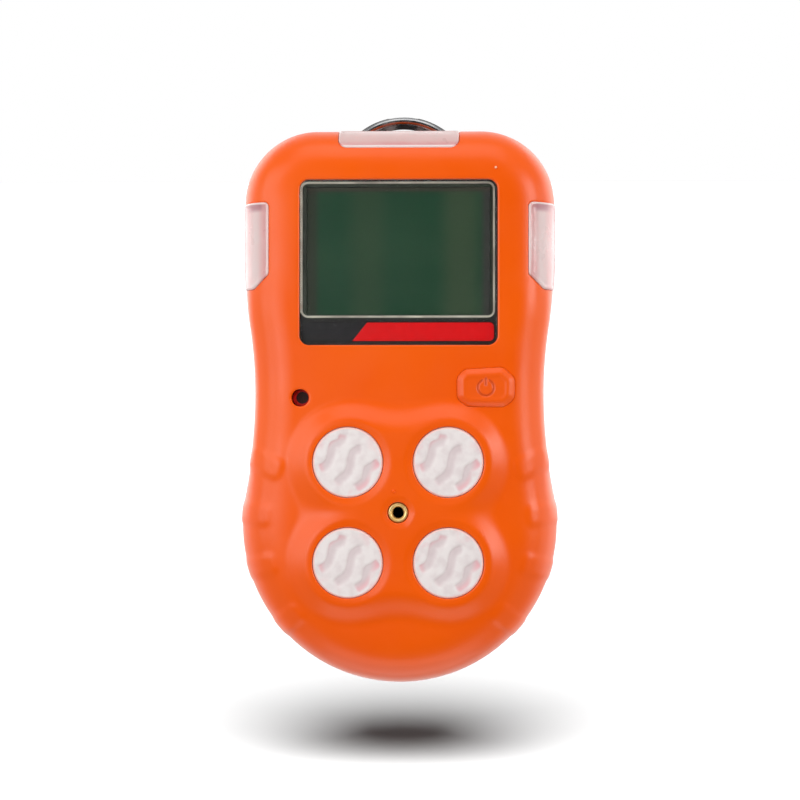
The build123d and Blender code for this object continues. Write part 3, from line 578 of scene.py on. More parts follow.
def grip_relief(points):
    """Raised grip pads along both lower sides."""
    x, z = points[:, 0], points[:, 2]
    reach = BULGE_R - GRIP_INSET
    rise = np.zeros(len(points))
    for angle in np.radians(GRIP_ANGLES):
        c, s = math.cos(angle), math.sin(angle)
        for side in (-1, 1):
            dx, dz = side * x - reach * c, z - BULGE_Z - reach * s
            away, across = dx * c + dz * s, dz * c - dx * s
            far = rounded_box_distance(away, across, GRIP_REACH / 2, GRIP_LENGTH / 2,
                                       GRIP_LENGTH / 3)
            rise = np.maximum(rise, GRIP_RISE * (1 - smoothstep(-1.5, 0.3, far)))
    return rise


def clover_distance(points):
    """Distance outside the top of the raised clover, whose lobes are melted together."""
    x, z = points[:, 0], points[:, 2]
    total = np.zeros(len(points))
    lobes = [(cx, cz, LOBE_R) for cx, cz in PORT_CENTRES]
    lobes += [(0, FILL_LOBE_Z, FILL_LOBE_R), (0, -FILL_LOBE_Z, FILL_LOBE_R)]
    for cx, cz, radius in lobes:
        total += np.exp(-LOBE_MELT * (np.hypot(x - cx, z - cz) - radius))
    return -np.log(total) / LOBE_MELT + LOBE_SWELL


def dish(far, depth, low, high):
    """A round hollow that is deepest inside low and level outside high."""
    return depth * (1 - smoothstep(low, high, far))


def front_relief(points):
    """Everything that stands proud of the plain front surface."""
    x, y, z = points.T
    on_top = 1 - smoothstep(-0.6, LOBE_SLOPE, clover_distance(points))
    platform = (FACE_Y - PLATFORM_Y) * on_top * (y < FACE_Y + 2)
    dishes = [dish(np.hypot(x - cx, z - cz), PORT_DISH_DEPTH, PORT_R + 0.25, PORT_R + 1.7)
              for cx, cz in PORT_CENTRES]
    dishes.append(dish(np.hypot(x, z), INSERT_DISH_DEPTH, INSERT_DISH_R - 0.1,
                       INSERT_DISH_R + 0.35))
    return platform - np.max(dishes, axis=0) + grip_relief(points) * (y > FACE_Y - 0.2)


def back_relief(points):
    return grip_relief(points) * (1 - smoothstep(25.4, 26.2, points[:, 1]))


def disc_grooves():
    """Wavy grooves of a filter disc as lists of points, in units of its radius."""
    middle = [(0.50, 0.49), (0.30, 0.46), (0.09, 0.32), (0.02, 0.13), (-0.02, -0.10),
              (-0.09, -0.28), (-0.26, -0.42), (-0.46, -0.59)]
    left = [(-0.20, 0.89), (-0.26, 0.66), (-0.48, 0.54), (-0.54, 0.35), (-0.57, 0.19),
            (-0.67, -0.01), (-0.90, -0.13)]
    right = [(0.89, 0.13), (0.68, -0.03), (0.50, -0.14), (0.45, -0.31), (0.41, -0.49),
             (0.27, -0.61), (0.13, -0.70)]
    return [smooth_curve(line, 60)[0] for line in (left, middle, right)]


def groove_depth(points, line):
    """Depth share of a groove down a line, with a crisp left bank and a soft right one."""
    best = np.full(len(points), np.inf)
    side, walked = np.zeros(len(points)), np.zeros(len(points))
    for number, (a, b) in enumerate(zip(line, line[1:])):
        edge, away = b - a, points - a
        along = np.clip(away @ edge / (edge @ edge), 0, 1)
        far = np.linalg.norm(away - along[:, None] * edge, axis=1)
        nearer = far < best
        best[nearer] = far[nearer]
        side[nearer] = (edge[0] * away[:, 1] - edge[1] * away[:, 0])[nearer]
        walked[nearer] = ((number + along) / (len(line) - 1))[nearer]
    crisp, soft = smoothstep(0.0, GROOVE_CRISP, best), smoothstep(0.1, GROOVE_SOFT, best)
    bank = np.where(side < 0, crisp, soft)
    return (1 - bank) ** 1.3 * smoothstep(0, 0.14, walked) * (1 - smoothstep(0.88, 1, walked))


def boss_mesh(loop, rings, spacing, front, stack):
    """A closed piece: a front face inside the loop, then rings of (grow, depth) to a flat back."""
    loops = [offset_loop(loop, -inset) if inset else loop for inset in rings]
    flat, faces, numbers = triangulate(loops, [], [], spacing)
    inset = nearest_on(loop, flat)[3]
    for ring, value in zip(numbers, rings):
        inset[ring] = value
    all_points, all_faces = [at_depth(flat, front(flat, inset))], [tuple(f) for f in faces]
    edge, count = numbers[0], len(flat)
    for grow, depth in stack:
        grown = offset_loop(loop, grow) if grow else loop
        all_points.append(at_depth(grown, depth))
        following = list(range(count, count + len(grown)))
        count += len(grown)
        all_faces += side_faces(edge, following)
        edge = following
    all_faces.append(tuple(edge[::-1]))
    return np.vstack(all_points), all_faces


def lathe_mesh(profile, count=96):
    """A closed ring turned round the Y axis, from a closed profile of (radius, depth)."""
    turns = np.linspace(0, 2 * math.pi, count, endpoint=False)
    round_once = np.column_stack([np.cos(turns), np.sin(turns)])
    points, faces = [at_depth(radius * round_once, depth) for radius, depth in profile], []
    for ring in range(len(profile)):
        starts = ring * count, (ring + 1) % len(profile) * count
        faces += side_faces(*[list(range(start, start + count)) for start in starts])
    return np.vstack(points), faces


# --- Materials ---


def shade(colour):
    """A colour given in 8-bit steps as the shader's linear values. Anything else stays as it is."""
    if not isinstance(colour, tuple):
        return colour
    parts = [value / 255 for value in colour]
    return [p / 12.92 if p <= 0.04045 else ((p + 0.055) / 1.055) ** 2.4 for p in parts] + [1.0]


class Nodes:
    """A node tree, with short ways to add the nodes used here."""

    def __init__(self, tree):
        self.tree = tree

    def put(self, socket, value):
        if isinstance(value, bpy.types.NodeSocket):
            self.tree.links.new(value, socket)
        else:
            socket.default_value = value

    def node(self, kind, inputs=(), output=0, **settings):
        made = self.tree.nodes.new(kind)
        for key, value in settings.items():
            setattr(made, key, value)
        for key, value in dict(inputs).items():
            self.put(made.inputs[key], value)
        return made.outputs[output]

    def math(self, operation, a, b=0.0):
        return self.node("ShaderNodeMath", {0: a, 1: b}, operation=operation)

    def times(self, a, b):
        return self.math("MULTIPLY", a, b)

    def ramp(self, value, low, high, start=0.0, end=1.0):
        """Runs smoothly from start, where the value is low, to end, where it is high."""
        return self.node(
            "ShaderNodeMapRange",
            {"Value": value, "From Min": low, "From Max": high, "To Min": start, "To Max": end},
            interpolation_type="SMOOTHSTEP",
        )

    def mix(self, factor, a, b):
        inputs = {0: factor, 6: shade(a), 7: shade(b)}
        return self.node("ShaderNodeMix", inputs, output=2, data_type="RGBA")

    def split(self, vector):
        made = self.tree.nodes.new("ShaderNodeSeparateXYZ")
        self.tree.links.new(vector, made.inputs[0])
        return made.outputs[0], made.outputs[1], made.outputs[2]


class Paint(Nodes):
    """A material, built up as layers of colour, then gloss and grain."""

    def __init__(self, name, colour, roughness, **sockets):
        self.material = bpy.data.materials.new(name)
        self.material.use_nodes = True
        super().__init__(self.material.node_tree)
        self.shader = self.tree.nodes["Principled BSDF"]
        self.coords = self.node("ShaderNodeTexCoord", output="Object")
        self.tone = shade(colour)
        settings = {"Base_Color": self.tone, "Roughness": roughness, **sockets}
        for socket, value in settings.items():
            self.put(self.shader.inputs[socket.replace("_", " ")], value)

    def axes(self):
        return self.split(self.coords)

    def noise(self, scale, detail=3.0, stretch=None):
        vector = self.coords
        if stretch:
            vector = self.node("ShaderNodeMapping", {"Vector": vector, "Scale": stretch})
        return self.node("ShaderNodeTexNoise", {"Vector": vector, "Scale": scale, "Detail": detail})

    def fade(self, value, low, high, start=0.0, end=1.0):
        """A ramp between two places given in millimetres."""
        return self.ramp(value, low * MM, high * MM, start, end)

    def away_from(self, value, place):
        """Distance, in metres, from a place given in millimetres."""
        return self.math("ABSOLUTE", self.math("SUBTRACT", value, place * MM))

    def length(self, a, b):
        return self.math("SQRT", self.math("ADD", *[self.times(p, p) for p in (a, b)]))

    def radius_from(self, centre):
        """Distance from the axis through (x, z) that faces the front, in metres."""
        x, _, z = self.axes()
        return self.length(self.away_from(x, centre[0]), self.away_from(z, centre[1]))

    def box_distance(self, centre, half, radius):
        """Signed distance to a rounded rectangle facing the front, in metres."""
        x, _, z = self.axes()
        parts = [self.math("SUBTRACT", self.away_from(value, middle), (size - radius) * MM)
                 for value, middle, size in ((x, centre[0], half[0]), (z, centre[1], half[1]))]
        outer = self.length(*[self.math("MAXIMUM", part, 0.0) for part in parts])
        inner = self.math("MINIMUM", self.math("MAXIMUM", *parts), 0.0)
        return self.math("SUBTRACT", self.math("ADD", outer, inner), radius * MM)

    def patches(self, base, other, scale, detail=3.0, low=0.35, high=0.7, stretch=None):
        """Two colours in soft patches."""
        share = self.ramp(self.noise(scale, detail, stretch), low, high)
        return self.mix(share, base, other)

    def colour(self, value):
        self.tone = value
        self.put(self.shader.inputs["Base Color"], value)
        return self

    def over(self, share, colour):
        """Lays a colour over what is there."""
        return self.colour(self.mix(share, self.tone, colour))

    def worn_gloss(self, low, high, scale):
        """Roughness that drifts between two values."""
        drift = self.ramp(self.noise(scale, 4.0), 0.3, 0.7, low, high)
        self.put(self.shader.inputs["Roughness"], drift)
        return self

    def relief(self, height, strength, depth):
        """Relief in the shading, depth in millimetres."""
        bump = {"Height": height, "Strength": strength, "Distance": depth * MM}
        self.put(self.shader.inputs["Normal"], self.node("ShaderNodeBump", bump))
        return self

    def grain(self, scale, strength, depth, stretch=None):
        return self.relief(self.noise(scale, 2.0, stretch), strength, depth)


def moulded(name, base, other, roughness, grain=0.12, scale=2200, **sockets):
    """Moulded plastic: faint flow patches, a fine spark-eroded grain and uneven gloss."""
    paint = Paint(name, base, roughness, **sockets)
    paint.colour(paint.patches(base, other, 38, high=0.65))
    paint.worn_gloss(roughness - 0.03, roughness + 0.03, 140)
    return paint.grain(scale, grain, 0.05)


def metal(name, base, other, roughness, stretch=(1, 1, 1), scale=400, grain=0.1, whole=1.0):
    """Metal with drawing lines or polish marks along one direction."""
    paint = Paint(name, base, roughness, Metallic=whole)
    paint.colour(paint.patches(base, other, scale, high=0.65, stretch=stretch))
    paint.worn_gloss(max(roughness - 0.08, 0.03), roughness + 0.1, 300)
    return paint.grain(scale * 6, grain, 0.02, stretch)


def housing_paint():
    """The housing's plastic, with a painted highlight on top of the nib beside the window."""
    paint = moulded("housing_orange", (252, 96, 1), (249, 92, 1), 0.32, 0.06, 2600,
                    Specular_IOR_Level=0.4)
    on_front = paint.fade(paint.axes()[1], 3, 4, 1.0, 0.0)
    # Painted highlight: a pale spot where light catches the nib, on the front only
    near = paint.fade(paint.radius_from(NIBS[0]), 0.16, 0.34, 0.85, 0.0)
    return paint.over(paint.times(near, on_front), (255, 214, 178)).material


def button_paint():
    """The cap's plastic, darker in the sunk power symbol."""
    paint = moulded("button_orange", (251, 95, 4), (247, 91, 3), 0.36, grain=0.1,
                    Specular_IOR_Level=0.4)
    sunk = paint.fade(paint.axes()[1], BUTTON_FRONT_Y + 0.18, BUTTON_FRONT_Y + 0.28)
    inside = paint.fade(paint.radius_from((BUTTON_X, BUTTON_Z)), 2.5, 2.6, 0.55, 0.0)
    return paint.over(paint.times(sunk, inside), (186, 60, 12)).material


def lens_paint(name, along_x):
    """Frosted lens: pale rim, pink towards its edges and a lighter middle."""
    low, high = box_mm(name)
    paint = Paint(name, (236, 205, 203), 0.32, Coat_Weight=0.35, Coat_Roughness=0.12,
                  Subsurface_Weight=0.25, Subsurface_Radius=(0.004, 0.002, 0.002),
                  Subsurface_Scale=1.0)
    x, _, z = paint.axes()
    cloud = paint.noise(90, 4.0)
    if along_x:
        foot = low[2]
        lower = paint.fade(z, foot + 0.5, foot + 1.7)
        paint.colour(paint.mix(lower, (219, 150, 150), (222, 184, 180)))
        paint.over(paint.ramp(cloud, 0.35, 0.7, 0.0, 0.5), (232, 196, 192))
        paint.over(paint.fade(z, foot + 0.28, foot + 0.5, 1.0, 0.0), (250, 238, 236))
    else:
        inner, top = min(abs(low[0]), abs(high[0])), high[2]
        away = paint.away_from(x, 0.0)
        centre = paint.away_from(away, inner + 2.9)
        across = paint.fade(centre, 0.2, 2.0)
        paint.colour(paint.mix(across, (228, 201, 198), (219, 160, 158)))
        paint.over(paint.ramp(cloud, 0.4, 0.75, 0.0, 0.4), (231, 208, 205))
        # Painted shade: darker near the top of a side lens, most of all round its middle
        dark = paint.fade(z, top - 2.4, top - 1.3, 0.0, 0.75)
        top_shade = paint.times(dark, paint.fade(centre, 0.9, 2.1, 1.0, 0.2))
        paint.over(top_shade, (176, 104, 118))
        rim = paint.fade(away, inner + 0.28, inner + 0.55, 0.8, 0.0)
        rim = paint.math("MAXIMUM", rim, paint.fade(z, top - 0.55, top - 0.3, 0.0, 0.8))
        paint.over(rim, (248, 226, 222))
    return paint.worn_gloss(0.26, 0.4, 160).grain(1800, 0.1, 0.05).material


def filter_paint(centre):
    """White filter disc: painted shade in the grooves, greyish, pink where they run out at the rim.
    """
    paint = Paint("filter_white", (238, 234, 233), 0.5)
    depth = paint.fade(paint.axes()[1], FILTER_FACE_Y + 0.03, FILTER_FACE_Y + GROOVE_DEPTH)
    radius = paint.radius_from(centre)
    near_rim = paint.fade(radius, 4.6, 7.0)
    blush = paint.ramp(paint.noise(260, 2.0), 0.5, 0.72, 0.0, 0.35)
    # Pink near the rim: painted shade in the grooves there, together with faint random blush
    pink = paint.times(near_rim, paint.math("MAXIMUM", depth, blush))
    paint.colour(paint.patches((243, 235, 233), (233, 222, 221), 420, 2.0))
    # Painted shade: greyer the deeper the surface lies in a groove
    paint.over(paint.times(depth, 0.6), (214, 194, 196))
    paint.over(pink, (240, 176, 182))
    paint.over(paint.fade(radius, 7.1, 7.35), (250, 214, 206))
    return paint.worn_gloss(0.42, 0.58, 300).grain(3000, 0.12, 0.04).material


def glass_paint(name, tint, roughness):
    """Clear window: bent light for the eye, straight through for shadows."""
    paint = Paint(name, tint, roughness, Transmission_Weight=1.0, IOR=1.25)
    paint.worn_gloss(roughness, roughness + 0.03, 60)
    clear = paint.node("ShaderNodeBsdfTransparent", {"Color": tint})
    shadow = paint.node("ShaderNodeLightPath", output="Is Shadow Ray")
    seen = paint.node("ShaderNodeMixShader", {0: shadow, 1: paint.shader.outputs[0], 2: clear})
    paint.put(paint.tree.nodes["Material Output"].inputs["Surface"], seen)
    return paint.material


def lcd_paint():
    """A display that is switched off: dark green, with mossy patches and browner margins."""
    low, high = box_mm("lcd_glass")
    paint = Paint("lcd_dark_green", (41, 57, 41), 0.3, Specular_IOR_Level=0.3)
    x, _, z = paint.axes()
    paint.colour(paint.patches((20, 48, 32), (28, 52, 36), 60, 2.0))
    for place, share in ((0.33, 0.45), (0.84, 0.8)):
        away = paint.away_from(x, low[0] + place * (high[0] - low[0]))
        paint.over(paint.fade(away, 1.0, 6.0, share, 0.0), (46, 58, 42))
    paint.over(paint.fade(x, high[0] - 2.4, high[0] - 0.9, 0.0, 0.8), (50, 44, 46))
    paint.over(paint.fade(x, low[0] + 1.6, low[0] + 2.8, 0.9, 0.0), (36, 38, 30))
    # Painted reflection: the orange housing mirrored brown in the glass along the display's top
    paint.over(paint.fade(z, high[2] - 1.3, high[2] - 0.6, 0.0, 0.8), (48, 40, 36))
    return paint.grain(1500, 0.04, 0.02).material


# The pale line round the display: the middle, half size and corner of its rounded rectangle,
# and half its width
BEZEL_CENTRE = (-0.16, 57.2)
BEZEL_HALF = (20.96, 14.6)
BEZEL_CORNER_R = 1.4
BEZEL_LINE = 0.17


def bezel_paint(name, base, other):
    """Dark plastic with a narrow pale line round the display."""
    paint = Paint(name, base, 0.4, Specular_IOR_Level=0.3)
    edge = paint.box_distance(BEZEL_CENTRE, BEZEL_HALF, BEZEL_CORNER_R)
    line = paint.fade(paint.away_from(edge, 0.0), BEZEL_LINE, BEZEL_LINE + 0.08, 1.0, 0.0)
    paint.colour(paint.patches(base, other, 90, 2.0))
    paint.over(line, paint.patches((172, 164, 152), (132, 122, 114), 160))
    return paint.worn_gloss(0.35, 0.45, 200).grain(2500, 0.08, 0.03).material


# The strip: where its red part starts at mid height, how its edge leans, and the border's width
RED_FROM = 0.3
RED_LEAN = 0.8
STRIP_BORDER = 0.3


def strip_paint():
    """Printed strip: a black part and a red part with a slanted split, in a black border."""
    low, high = box_mm("window_strip")
    centre, half = middle_of("window_strip"), half_of("window_strip")
    paint = Paint("strip_print", (20, 18, 20), 0.3, Specular_IOR_Level=0.25)
    x, _, z = paint.axes()
    lean = paint.times(paint.math("SUBTRACT", z, centre[1] * MM), RED_LEAN)
    split_x = (low[0] + RED_FROM * (high[0] - low[0])) * MM
    side = paint.math("SUBTRACT", paint.math("SUBTRACT", x, split_x), lean)
    paint.colour(paint.patches((28, 26, 28), (33, 31, 33), 900))
    paint.over(paint.fade(side, -0.03, 0.03),
               paint.patches((184, 2, 8), (176, 1, 6), 900))
    border = paint.box_distance(centre, half - STRIP_BORDER, 1.0)
    paint.over(paint.fade(border, -0.04, 0.04), (12, 6, 8))
    return paint.grain(1800, 0.05, 0.02).material


def mesh_paint():
    """Woven acoustic mesh, with a painted red crescent for the lit wall on one side of the port."""
    paint = Paint("mesh_black", (24, 20, 18), 0.6)
    waves = [paint.node("ShaderNodeTexWave", {"Vector": paint.coords, "Scale": 900.0}, output=1,
                        bands_direction=axis) for axis in ("X", "Z")]
    weave = paint.times(*waves)
    x, z = middle_of("buzzer_mesh")
    paint.colour(paint.mix(weave, (14, 4, 4), (66, 26, 22)))
    # Painted light: the lit red wall of the port, laid on the mesh outside a ring round an
    # off-centre point
    paint.over(paint.fade(paint.radius_from((x + 0.28, z + 0.05)), 1.25, 1.4), (206, 12, 2))
    return paint.relief(weave, 0.6, 0.05).material


def board_paint():
    """Green board with faint copper tracks."""
    paint = Paint("board_green", (18, 84, 48), 0.35, Coat_Weight=0.4, Coat_Roughness=0.2)
    cells = paint.node("ShaderNodeTexVoronoi", {"Vector": paint.coords, "Scale": 260.0},
                       distance="MANHATTAN", feature="F1")
    tracks = paint.ramp(cells, 0.45, 0.5)
    paint.colour(paint.mix(tracks, (16, 76, 44), (34, 110, 66)))
    return paint.grain(700, 0.15, 0.05).material


def label_paint():
    """A plain silver label with a printed frame and no lettering."""
    paint = Paint("label_print", (206, 206, 204), 0.35)
    paint.colour(paint.patches((214, 214, 212), (190, 190, 190), 300, low=0.3,
                               stretch=(0.05, 1, 6)))
    frame_edge = paint.box_distance(middle_of("rear_label"), half_of("rear_label") - 1.3, 1.2)
    line = paint.fade(paint.away_from(frame_edge, 0.0), 0.1, 0.18, 0.85, 0.0)
    paint.over(line, (40, 40, 44))
    return paint.worn_gloss(0.28, 0.42, 90).grain(1500, 0.05, 0.02).material


def brass_paint():
    """Brass, darker and olive round the outside of the insert."""
    paint = metal("brass", (255, 226, 160), (236, 196, 118), 0.38, whole=0.55)
    olive_outside = paint.fade(paint.radius_from((0, 0)), 1.8, 2.15, 0.0, 0.85)
    return paint.over(olive_outside, (150, 124, 44)).material


# Materials of the CAD nodes that show as they are: how they are made, name, two colours, roughness,
# other settings, and the nodes
PLAIN_PAINTS = [
    (metal, "clip_steel", (180, 180, 180), (162, 162, 164), 0.24,
     {"stretch": (1, 1, 0.12), "scale": 220, "grain": 0.06}, ["clip_base", "clip_lever"]),
    (metal, "spring_steel", (160, 160, 162), (130, 130, 134), 0.24, {}, ["clip_pin"]),
    (metal, "screw_steel", (196, 196, 198), (150, 150, 154), 0.28, {},
     ["housing_screws", "clip_screws", "board_screws"]),
    (metal, "motor_steel", (188, 188, 192), (150, 150, 156), 0.3, {"stretch": (1, 1, 8)},
     ["vibration_motor"]),
    (metal, "weight_steel", (168, 168, 172), (130, 130, 136), 0.35, {}, ["vibration_weight"]),
    (metal, "gold_contact", (232, 190, 110), (214, 166, 88), 0.25, {},
     ["charge_contacts", "shell_inserts"]),
    (moulded, "black_plastic", (28, 28, 30), (38, 38, 40), 0.45, {},
     ["switch_body", "switch_plunger", "display_header", "sensor_header", "sensor_sockets",
      "buzzer", "motor_cradle"]),
    (moulded, "black_rubber", (24, 24, 24), (34, 34, 34), 0.75, {"grain": 0.3, "scale": 1500},
     ["housing_gasket", "sensor_gaskets"]),
    (moulded, "foam", (52, 52, 56), (66, 66, 70), 0.9, {"grain": 0.8, "scale": 900},
     ["battery_pad"]),
    (moulded, "white_diffuser", (232, 234, 230), (222, 224, 220), 0.4, {}, ["lcd_backlight"]),
    (moulded, "connector_white", (228, 226, 216), (214, 210, 198), 0.45, {},
     ["battery_connector"]),
    (moulded, "sensor_shell", (208, 208, 202), (192, 192, 186), 0.4, {},
     ["oxygen_sensor", "carbon_monoxide_sensor", "hydrogen_sulphide_sensor",
      "combustible_gas_sensor"]),
    (moulded, "wire_red", (176, 26, 22), (150, 18, 16), 0.4, {}, ["battery_leads"]),
    (moulded, "ribbon_grey", (150, 150, 152), (132, 132, 136), 0.45, {}, ["ribbon_cable"]),
    (moulded, "battery_wrap", (36, 74, 128), (28, 60, 110), 0.28, {"Coat_Weight": 0.4},
     ["battery_pack"]),
    (moulded, "led_body", (214, 70, 60), (190, 50, 44), 0.2, {"grain": 0.04, "Coat_Weight": 0.5},
     ["alarm_leds"]),
]


def cad_materials():
    """A material for every CAD node that may show, by node name."""
    chosen = {}
    for make, name, base, other, roughness, settings, nodes in PLAIN_PAINTS:
        paint = make(name, base, other, roughness, **settings)
        chosen.update({node: paint.material for node in nodes})
    chosen["sensor_board"] = chosen["display_board"] = board_paint()
    chosen["buzzer_mesh"] = mesh_paint()
    chosen["lcd_glass"] = lcd_paint()
    chosen["lcd_frame"] = bezel_paint("bezel_grey", (34, 38, 30), (40, 42, 34))
    chosen["window_strip"] = strip_paint()
    chosen["rear_label"] = label_paint()
    return chosen


# --- Pieces ---

FRONT = Skin(FRONT_SOFT, FRONT_CRISP, front=True)
BACK = Skin(BACK_PROFILE, BACK_PROFILE, front=False)

SOUND_PORT_R = 1.9
WINDOW_CORNER_R = 2.0
WINDOW_GAP = 0.12
INSERT_GAP = 0.05
SCREW_PLACES = [(24.3, 72.8), (18.2, -23.2)]
SCREW_HOLE_R = 2.5
CONTACT_PLACES = (-7.5, -2.5, 2.5, 7.5)
CONTACT_HOLE_R = 1.5
LABEL_GAP = 0.1
LABEL_CORNER_R = 2.0

BUTTON_GAP = 0.05
button_low, button_high = box_mm("power_button")
BUTTON_X, BUTTON_Z = middle_of("switch_plunger")
BUTTON_CORNERS = [(-6.3, -2.6), (-4.1, -4.25), (4.0, -4.3), (6.1, -2.5), (6.2, 2.0), (3.7, 4.35),
                  (-4.8, 3.9), (-6.35, 2.2)]
BUTTON_CORNER_R = 2.2
BUTTON_FRONT_Y = button_low[1]
BUTTON_BACK_Y = button_high[1] - 1.2
BUTTON_EDGE = FACE_Y - 0.05 - BUTTON_FRONT_Y
SYMBOL_CENTRE = (-0.1, -0.12)
SYMBOL_R = 1.72
SYMBOL_HALF_LINE = 0.24
SYMBOL_HALF_GAP = 0.7

FILTER_FACE_Y = -0.2
GROOVE_DEPTH = 0.26
# Width of a groove's two banks, in units of the disc's radius
GROOVE_CRISP = 0.09
GROOVE_SOFT = 0.34

THREAD_R = 1.25
THREAD_PITCH = 0.5


def button_loop(step):
    corners = [(BUTTON_X + x, BUTTON_Z + z) for x, z in BUTTON_CORNERS]
    return rounded_loop(corners, BUTTON_CORNER_R, step)


def window_loop(grow):
    return rounded_loop(rectangle_of("display_window", grow), WINDOW_CORNER_R + grow)


def side_lens_corners(side):
    low, high = box_mm("alarm_lens_right")
    inner, foot, top = low[0], low[2], high[2]
    outer = HALF_TOP + 2
    corners = [(outer, top), (inner, top), (inner, foot + SIDE_LENS_DROP),
               (inner + SIDE_LENS_DROP * SIDE_LENS_SLANT, foot), (outer, foot)]
    return [(side * x, z) for x, z in corners]


def lens_loops():
    low, high = box_mm("alarm_lens_top")
    shapes = {"alarm_lens_left": (side_lens_corners(-1), 1.1),
              "alarm_lens_right": (side_lens_corners(1), 1.1),
              "alarm_lens_top": (rectangle(low[0], high[0], low[2], TOP_Z + 3), 1.9)}
    return {name: FRONT.over_edge(corners, radius, LENS_BACK_Y)
            for name, (corners, radius) in shapes.items()}


def make_front_shell(lenses, paint):
    insert_r = box_mm("calibration_insert")[1][0]
    holes = [(FRONT.flatten(window_loop(WINDOW_GAP)), 1.0)]
    holes.append((FRONT.flatten(offset_loop(button_loop(0.3), BUTTON_GAP)), 0.2))
    holes.append((circle(middle_of("buzzer_mesh"), SOUND_PORT_R, 0.3), 1.0))
    holes += [(circle(centre, PORT_R, 0.35), 1.0) for centre in PORT_CENTRES]
    holes.append((circle((0, 0), insert_r + INSERT_GAP, 0.25), 1.0))
    holes += [(offset_loop(loop, LENS_GAP), 1.0) for loop in lenses.values()]
    extra = [(circle(nib, radius, 0.1), height) for nib in NIBS for radius, height in NIB_RINGS]
    shape = skin_mesh(FRONT, FRONT.rim(PARTING_Y), SEAM, holes, extra, SHELL_SPACING,
                      front_relief, WALL)
    piece = mesh_object("front_shell_skin", shape, paint)
    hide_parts("front_shell")


def make_rear_shell(paint):
    screws = [(side * x, z) for x, z in SCREW_PLACES for side in (-1, 1)]
    contact_z = middle_of("charge_contacts")[1]
    holes = [(circle(centre, SCREW_HOLE_R, 0.25), 1.0) for centre in screws]
    holes += [(circle((x, contact_z), CONTACT_HOLE_R, 0.2), 1.0) for x in CONTACT_PLACES]
    holes.append((rounded_loop(rectangle_of("rear_label", LABEL_GAP), LABEL_CORNER_R), 1.0))
    shape = skin_mesh(BACK, BACK.rim(PARTING_Y), SEAM, holes, [], SHELL_SPACING, back_relief, WALL)
    piece = mesh_object("rear_shell_skin", shape, paint)
    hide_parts("rear_shell")


def make_lens(name, loop):
    shape = skin_mesh(FRONT, loop, LENS_RIM, [], [], LENS_SPACING, None, LENS_THICKNESS)
    paint = lens_paint(name, along_x=name == "alarm_lens_top")
    piece = mesh_object(f"{name}_skin", shape, paint)
    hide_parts(name)


def make_filter(name, centre, grooves):
    radius = PORT_R - 0.12

    def front(flat, inset):
        inner = (flat - centre) / radius
        groove = GROOVE_DEPTH * np.max([groove_depth(inner, line) for line in grooves], axis=0)
        groove *= smoothstep(0.25, 0.7, inset)
        edge = 0.22 * (1 - smoothstep(0.0, 0.3, inset))
        return FILTER_FACE_Y + groove + edge

    shape = boss_mesh(circle(centre, radius, 0.3), [0, 0.08, 0.18, 0.3, 0.5], 0.2, front,
                      [(0, 1.1), (2.0, 1.15), (2.0, 1.7)])
    piece = mesh_object(f"{name}_disc", shape, filter_paint(centre))
    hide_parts(name)


def power_symbol(x, z):
    """Signed distance to a broken ring with a bar in its gap, round the symbol's centre."""
    ring = np.abs(np.hypot(x, z) - SYMBOL_R) - SYMBOL_HALF_LINE
    in_gap = (np.abs(x) < SYMBOL_HALF_GAP) & (z > 0)
    ring = np.where(in_gap, np.maximum(ring, SYMBOL_HALF_GAP - np.abs(x)), ring)
    return np.minimum(ring, rounded_box_distance(x, z - 1.3, SYMBOL_HALF_LINE, 0.95, 0.2))


def make_button(paint):
    centre = np.array([BUTTON_X, BUTTON_Z])

    def front(flat, inset):
        x, z = (flat - centre - SYMBOL_CENTRE).T
        edge = BUTTON_EDGE * np.clip(1 - inset / 1.8, 0, 1) ** 1.8
        hollow = 0.16 * smoothstep(1.2, 2.4, inset)
        cut = 0.15 * (1 - smoothstep(-0.12, 0.14, power_symbol(x, z)))
        return BUTTON_FRONT_Y + edge + hollow + cut

    shape = boss_mesh(button_loop(0.22), [0, 0.12, 0.28, 0.5, 0.8], 0.15, front,
                      [(0, 4.0), (0, BUTTON_BACK_Y)])
    piece = mesh_object("power_button_cap", shape, paint, "button", 60)
    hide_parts("power_button")


def make_window():
    low, high = box_mm("display_window")

    def front(flat, inset):
        return low[1] + 0.25 * (1 - smoothstep(0.0, 0.3, inset))

    glass = glass_paint("window_clear", [0.93, 0.95, 0.94, 1.0], 0.03)
    shape = boss_mesh(window_loop(0.0), [0, 0.08, 0.18, 0.3, 0.36, 0.5], 3.0, front,
                      [(0, high[1] - 0.1)])
    piece = mesh_object("display_window_pane", shape, glass)
    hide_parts("display_window")


def make_window_mask():
    """The print on the back of the window, open over the display and over the strip."""
    back = box_mm("display_window")[1][1]
    paint = bezel_paint("window_mask", (20, 18, 18), (28, 25, 25))
    holes = [[rounded_loop(rectangle_of("lcd_frame", -0.05), 1.4)],
             [rounded_loop(rectangle_of("window_strip", -0.1), 1.5)]]
    flat, faces, rings = triangulate([window_loop(0.02)], holes, [], 2.0)
    shape = walled(at_depth(flat, back - 0.08), at_depth(flat, back - 0.02), faces, rings)
    mesh_object("window_mask", shape, paint)


